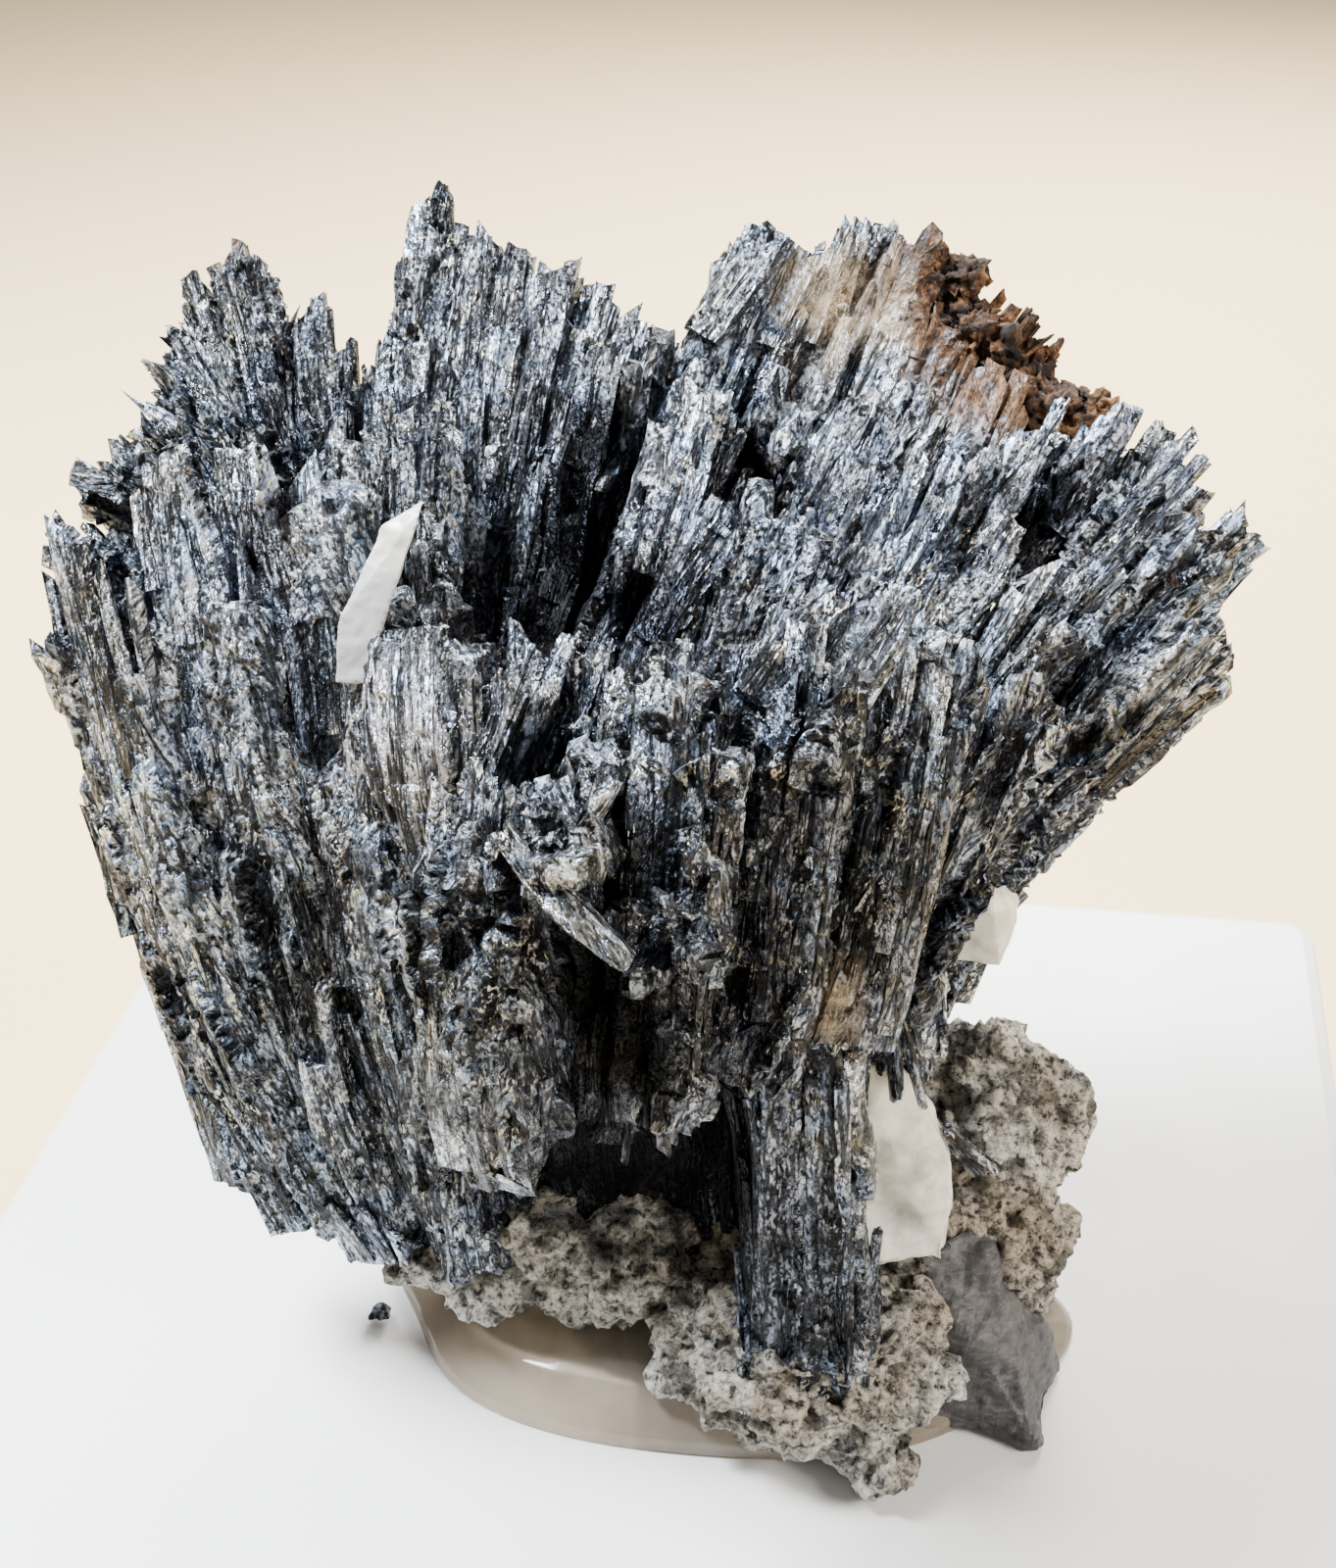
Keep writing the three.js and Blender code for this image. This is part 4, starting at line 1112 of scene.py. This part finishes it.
def ball(at, half, seed):
    """Points at latitude and longitude on a ball, stretched to half-widths, moved by noise."""
    rise = np.linspace(-pi / 2, pi / 2, BALL_ROWS + 2)[1:-1]
    turn = np.arange(BALL_RING) / BALL_RING * tau
    x = np.cos(rise)[:, None] * np.cos(turn)
    y = np.cos(rise)[:, None] * np.sin(turn)
    z = np.broadcast_to(np.sin(rise)[:, None], x.shape)
    unit = np.stack([x, y, z], -1)
    grid = unit * (1 + BALL_ROUGH * rocky(unit + seed, 0.7, 3, seed))[..., None] * half + at
    return tube_points(grid[None]), tube_faces(1, BALL_ROWS, BALL_RING)


def grown_lump(name, lumps, voxel_mm, layers):
    """Overlapping balls remeshed to one skin, then roughened."""
    points, faces, start = [], [], 0
    for seed, (at, half) in enumerate(lumps):
        some, (quads, caps) = ball(np.array(at, float), np.array(half, float), seed)
        points.append(some)
        faces += [quads + start, caps + start]
        start += len(some)
    piece = make_mesh(name, np.concatenate(points), faces)
    one_skin(piece, voxel_mm)
    roughen(piece, layers)
    shade(piece, True)
    return piece


def keep_above(piece, height):
    """Flattens what hangs below a height in millimetres onto it."""
    place, _ = mesh_arrays(piece)
    place[:, 2] = np.maximum(place[:, 2], height)
    move_to(piece, place)


# %% [markdown]
# ## Finishes for rock, crust and calcite
# The rock is tan to light grey, with dark soil in places and painted shade in its pores. Rust is brown
# to orange, dull and pitted, with painted shade in its pits.
# Calcite is milky: some light goes in and is lost among its veils. Subsurface scattering would show
# that too but takes longer to render, so a share of plain transmission stands for it.

# %% Rock, rust and calcite
def rock_finish():
    """Tan to light grey by broad noise, with dark soil in places and painted shade in fine pores."""
    f = Finish("altered_rock", Roughness=0.9)
    broad = f.noise(7.0, detail=3.0)
    grain = f.noise(0.55, detail=5.0, rough=0.7)
    tan, grey, pale = (0.46, 0.39, 0.3), (0.62, 0.59, 0.52), (0.82, 0.81, 0.78)
    colour = f.ramp(broad, (0.35, tan), (0.55, grey), (0.7, pale))
    # painted shade in the low parts of the fine grain, which is also the bump
    shade = f.ramp(grain, (0.38, 0.03), (0.49, 0.6), (0.6, 1.05))
    soil = f.ramp(f.noise(2.4, detail=4.0), (0.4, 0.3), (0.5, 1.0))
    f.wear(Base_Color=f.dim(f.dim(colour, shade), soil))
    f.relief(grain, 0.6)
    return f.done()


def grey_rock_finish():
    """Mid grey with faint bands and a slight gloss."""
    f = Finish("smooth_grey_rock", Roughness=0.55)
    grain = f.noise(0.8, detail=5.0, rough=0.6, stretch=(1, 1, 0.4))
    dark, mid, pale = (0.02, 0.02, 0.023), (0.07, 0.068, 0.072), (0.16, 0.16, 0.16)
    f.wear(Base_Color=f.ramp(grain, (0.3, dark), (0.6, mid), (0.8, pale)))
    f.relief(grain, 0.2, 0.7)
    return f.done()


def rust_finish():
    """Dark brown to orange and cream by noise of two sizes."""
    f = Finish("iron_oxide", Roughness=0.92)
    patch = f.noise(2.4, detail=4.0, twist=0.6)
    grain = f.noise(0.5, detail=5.0, rough=0.7)
    colour = f.ramp(
        patch,
        (0.38, (0.008, 0.005, 0.004)),
        (0.5, (0.05, 0.023, 0.01)),
        (0.62, (0.18, 0.08, 0.028)),
        (0.75, (0.4, 0.26, 0.12)),
    )
    # painted shade in the low parts of the grain, which is also the bump, and painted light on its crests
    shade = f.ramp(grain, (0.38, 0.1), (0.5, 0.8), (0.62, 1.4))
    f.wear(Base_Color=f.dim(colour, shade))
    f.relief(grain, 0.4)
    return f.done()


GREYER_CALCITE = ((-15.2, 3.4, 50.4), 8)  # the lower end of the blade on the wall


def calcite_finish():
    """Milky white with cloudy veils, greyer at one end, part of the light passing through."""
    f = Finish("milky_calcite", Roughness=0.28, IOR=1.58, Transmission_Weight=0.22)
    veil = f.noise(1.5, detail=4.0, twist=0.5)
    milk = f.ramp(veil, (0.35, (0.68, 0.65, 0.57)), (0.6, (0.98, 0.96, 0.89)))
    f.wear(Base_Color=f.blend(f.near(*GREYER_CALCITE), milk, (0.5, 0.5, 0.5)))
    f.relief(f.noise(0.9, detail=3.0), 0.08, 0.5)
    return f.done()


ROCK = rock_finish()
GREY_ROCK = grey_rock_finish()
RUST = rust_finish()
CALCITE = calcite_finish()

# %% [markdown]
# ## The rock and the rusty crust
# Both are aggregates of grains, so both are lumps: a row is the middle of a lump and its half-widths,
# and a layer is one size of grain. The crust also has a few stained blades that stick out of it. Lumps
# were chosen over sculpting by hand, since a row can be moved until it fits its CAD solid.

# %% The matrix
MATRIX_LUMPS = [  # middle, half-widths
    ((-10, -2, 8), (8.5, 5, 4.2)),
    ((-3, -1.5, 8.5), (8.5, 5.6, 6.4)),
    ((12, -7, 5.5), (8.5, 6.5, 6)),
    ((9, 3, 7), (13, 7, 7)),
    ((23, 8.5, 12.5), (6, 5.5, 6.5)),
    ((23, 4, 6), (5.5, 5.5, 6)),
    ((18, -11, 2.5), (2.2, 2.2, 2.4)),
]
MATRIX_LAYERS = [(1.0, 3.6, 2, 5), (0.7, 1.3, 3, 6), (0.4, 0.6, 2, 7)]  # height, size, octaves, seed
matrix = grown_lump("matrix_rock_crust", MATRIX_LUMPS, 0.36, MATRIX_LAYERS)
keep_above(matrix, 0.3)
settle(matrix, ROCK, "matrix", "matrix_rock")

# %% The rusty crust
RUST_LUMPS = [
    ((16.2, 38.4, 60.2), (2.4, 2.4, 2)),
    ((18.6, 36.6, 57.8), (2.6, 2.6, 2.4)),
    ((21.2, 35.2, 55.6), (2.6, 2.6, 2.2)),
    ((23.6, 34.2, 53.8), (2.5, 2.4, 2)),
    ((26, 33.6, 53.4), (1.7, 1.6, 1.5)),
]
RUSTY_BLADES = [
    [[15, 37, 57.5], [15.6, 40.6, 61.4], [0.9, -0.3, -0.3], [5, 5], [2, 2]],
    [[18, 36, 55.5], [21.6, 38, 60], [0.9, -0.3, -0.3], [5, 5], [2, 2]],
    [[20.5, 35, 53.5], [22.6, 39, 57], [0.8, -0.4, -0.3], [5, 5], [2, 2]],
    [[23, 33, 51.5], [27.4, 35, 55.2], [0.8, -0.4, -0.3], [4, 4], [2, 2]],
]
RUST_LAYERS = [(1.0, 1.8, 2, 2), (0.8, 0.9, 3, 9), (0.4, 0.35, 2, 4)]
crust = grown_lump("iron_oxide_crust_grown", RUST_LUMPS, 0.2, RUST_LAYERS)
settle(crust, RUST, "iron_oxide", "iron_oxide_crust")
rusty = flakes("iron_oxide_blades", numbered(RUSTY_BLADES, 200), density=0.4, widest=1.5)
settle(rusty, RUST, "iron_oxide", "iron_oxide_crust")

# %% [markdown]
# ## Crystals that keep their faces
# The white crystals, the grey stone and the loose splinter have flat faces, which the CAD solids have
# already. Building them again would only risk a misfit, so a copy of each solid is remeshed finely and
# given a slight unevenness, which also rounds its edges a little.

# %% Weathered copies of flat-faced solids
def weathered(node_name, material, slot, voxel_mm, layers):
    """A copy of a CAD node in one fine skin, moved along its normals by layers of noise."""
    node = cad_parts[node_name]
    mesh = node.data.copy()
    mesh.transform(node.matrix_world)
    piece = linked(node_name + "_surface", mesh)
    one_skin(piece, voxel_mm)
    roughen(piece, layers)
    return settle(piece, material, slot, node_name)


weathered("calcite_blade", CALCITE, "calcite", 0.16, [(0.14, 2.0, 3, 1)])
weathered("calcite_side_crystal", CALCITE, "calcite", 0.18, [(0.12, 2.2, 3, 2)])
weathered("calcite_neck_crystal", CALCITE, "calcite", 0.22, [(0.5, 4.0, 3, 3)])
weathered("smooth_grey_rock", GREY_ROCK, "grey_rock", 0.25, [(0.7, 3.5, 4, 4)])
crumb = weathered("stibnite_crumb", STIBNITE, "stibnite", 0.08, [(0.12, 0.5, 2, 5)])
remember_growth(crumb, mesh_arrays(crumb)[0])
# a fixed openness of 0.2, so the crumb gets an even painted shade
remember(crumb, "openness", "FLOAT", "value", np.full(len(crumb.data.vertices), 0.2))

# %% [markdown]
# ## Glue and block
# The rock stands in a pool of cloudy clear glue on a satin white plastic block. The glue set as it
# spread, in soft lobes with a full rounded rim, so it is rings of one lobed outline that are drawn in
# as they rise. A fluid simulation could pour it, but would be slow and hard to keep inside the CAD pad.
# The block keeps its CAD shape and only gets a finish.


# %% The glue and the block
def glue_finish():
    """Cloudy clear glue with a wet gloss."""
    f = Finish("clear_glue", Roughness=0.12, IOR=1.47, Transmission_Weight=0.75)
    cloud = f.noise(4.0, detail=2.0)
    f.wear(Base_Color=f.ramp(cloud, (0.3, (0.56, 0.46, 0.34)), (0.7, (0.76, 0.67, 0.54))))
    return f.done()


def block_finish():
    """Satin white plastic with a faint unevenness in its gloss."""
    f = Finish("white_block", Base_Color=(0.74, 0.74, 0.73, 1), Specular_IOR_Level=0.4)
    f.wear(Roughness=f.ramp(f.noise(9.0, detail=4.0), (0.3, 0.36), (0.7, 0.46)))
    f.relief(f.noise(0.25, detail=2.0), 0.01, 0.3)
    return f.done()


PAD_CENTRE = (5, 0)
PAD_HALF = (23.5, 11.5)
PAD_RINGS = 24
PAD_SIDES = 96
PAD_PROFILE = [  # height, share of the full width
    (0.02, 1.0),
    (0.5, 1.0),
    (1.2, 0.975),
    (2.0, 0.91),
    (2.8, 0.81),
    (3.4, 0.67),
    (3.8, 0.48),
    (4.0, 0.2),
]


def glue_pool():
    """Rings of an ellipse with three and five soft lobes, drawn in as they rise."""
    profile = np.array(PAD_PROFILE)
    stops, known = np.linspace(0, 1, PAD_RINGS), np.linspace(0, 1, len(profile))
    height, share = (np.interp(stops, known, column) for column in profile.T)
    angle = np.arange(PAD_SIDES) / PAD_SIDES * tau
    lobes = 1 + 0.05 * np.sin(3 * angle + 0.6) + 0.03 * np.sin(5 * angle)
    reach = share[:, None] * lobes
    x = PAD_CENTRE[0] + PAD_HALF[0] * reach * np.cos(angle)
    y = PAD_CENTRE[1] + PAD_HALF[1] * reach * np.sin(angle)
    grid = np.stack([x, y, np.broadcast_to(height[:, None], x.shape)], -1)
    return make_mesh("glue_pool", tube_points(grid[None]), tube_faces(1, PAD_RINGS, PAD_SIDES))


settle(glue_pool(), glue_finish(), "adhesive", "adhesive_pad")
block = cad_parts["display_block"]
block.data.materials.clear()
block.data.materials.append(block_finish())

# %% [markdown]
# ## Floor, light and camera
# The floor is plain and pale. A metal shows only what it reflects, so small lamps would leave it black
# with a few sparks. Three large soft boxes stand round the specimen instead, a cool one and two that
# are slightly warm, and the world gives an even fill.

# %% Floor
FLOOR_HALF = 3.0  # metres
corners = [(x * FLOOR_HALF, y * FLOOR_HALF, 0) for x, y in ((-1, -1), (1, -1), (1, 1), (-1, 1))]
floor_mesh = bpy.data.meshes.new("floor")
floor_mesh.from_pydata(corners, [], [(0, 1, 2, 3)])
floor = linked("floor", floor_mesh)
floor_finish = Finish("pale_floor", Base_Color=(0.74, 0.56, 0.31, 1), Roughness=0.85)
floor_mesh.materials.append(floor_finish.done())


# %% Lights and world
AIM_AT = (0, 8, 35)
SOFTBOXES = [  # name, place in millimetres, watts, size in millimetres, colour
    ("key_cool", (-190, 60, 330), 8.6, 130, (0.9, 0.95, 1.0)),
    ("fill_warm", (320, -60, 220), 2.4, 150, (1.0, 0.93, 0.84)),
    ("back_soft", (60, 320, 220), 4.0, 160, (1.0, 0.97, 0.92)),
]


def softbox(name, at, power, size, colour):
    """A square area light that faces the middle of the crystals."""
    light = bpy.data.lights.new(name, "AREA")
    light.energy = power
    light.size = size * MM
    light.color = colour
    box = linked(name, light)
    box.location = to_metres(at)
    aim = Vector(to_metres(AIM_AT)) - box.location
    box.rotation_euler = aim.to_track_quat("-Z", "Y").to_euler()


for row in SOFTBOXES:
    softbox(*row)
world = bpy.data.worlds.new("studio")
bpy.context.scene.world = world
world.use_nodes = True
fill = world.node_tree.nodes["Background"].inputs
fill["Color"].default_value = (1.0, 0.98, 0.95, 1)
fill["Strength"].default_value = 0.33
print(len(SOFTBOXES), "soft boxes of", sum(row[2] for row in SOFTBOXES), "W in all")

# %% Camera
# It stands close, a little to the right of the front, and looks 35 degrees down.
CAMERA_AT = (22.1, -89.8, 109.0)
CAMERA_RIGHT = Vector((0.984, 0.173, -0.040))
CAMERA_AHEAD = Vector((-0.165, 0.804, -0.571))
camera_data = bpy.data.cameras.new("camera")
camera_data.lens = 45
camera_data.sensor_width = 36
camera_data.clip_start = 0.005
camera_data.clip_end = 20
camera = linked("camera", camera_data)
ahead = CAMERA_AHEAD.normalized()
up = CAMERA_RIGHT.cross(ahead).normalized()
turned = Matrix((ahead.cross(up), up, -ahead)).transposed().to_4x4()
camera.matrix_world = Matrix.Translation(Vector(to_metres(CAMERA_AT))) @ turned
bpy.context.scene.camera = camera
print("camera at", CAMERA_AT, "mm")
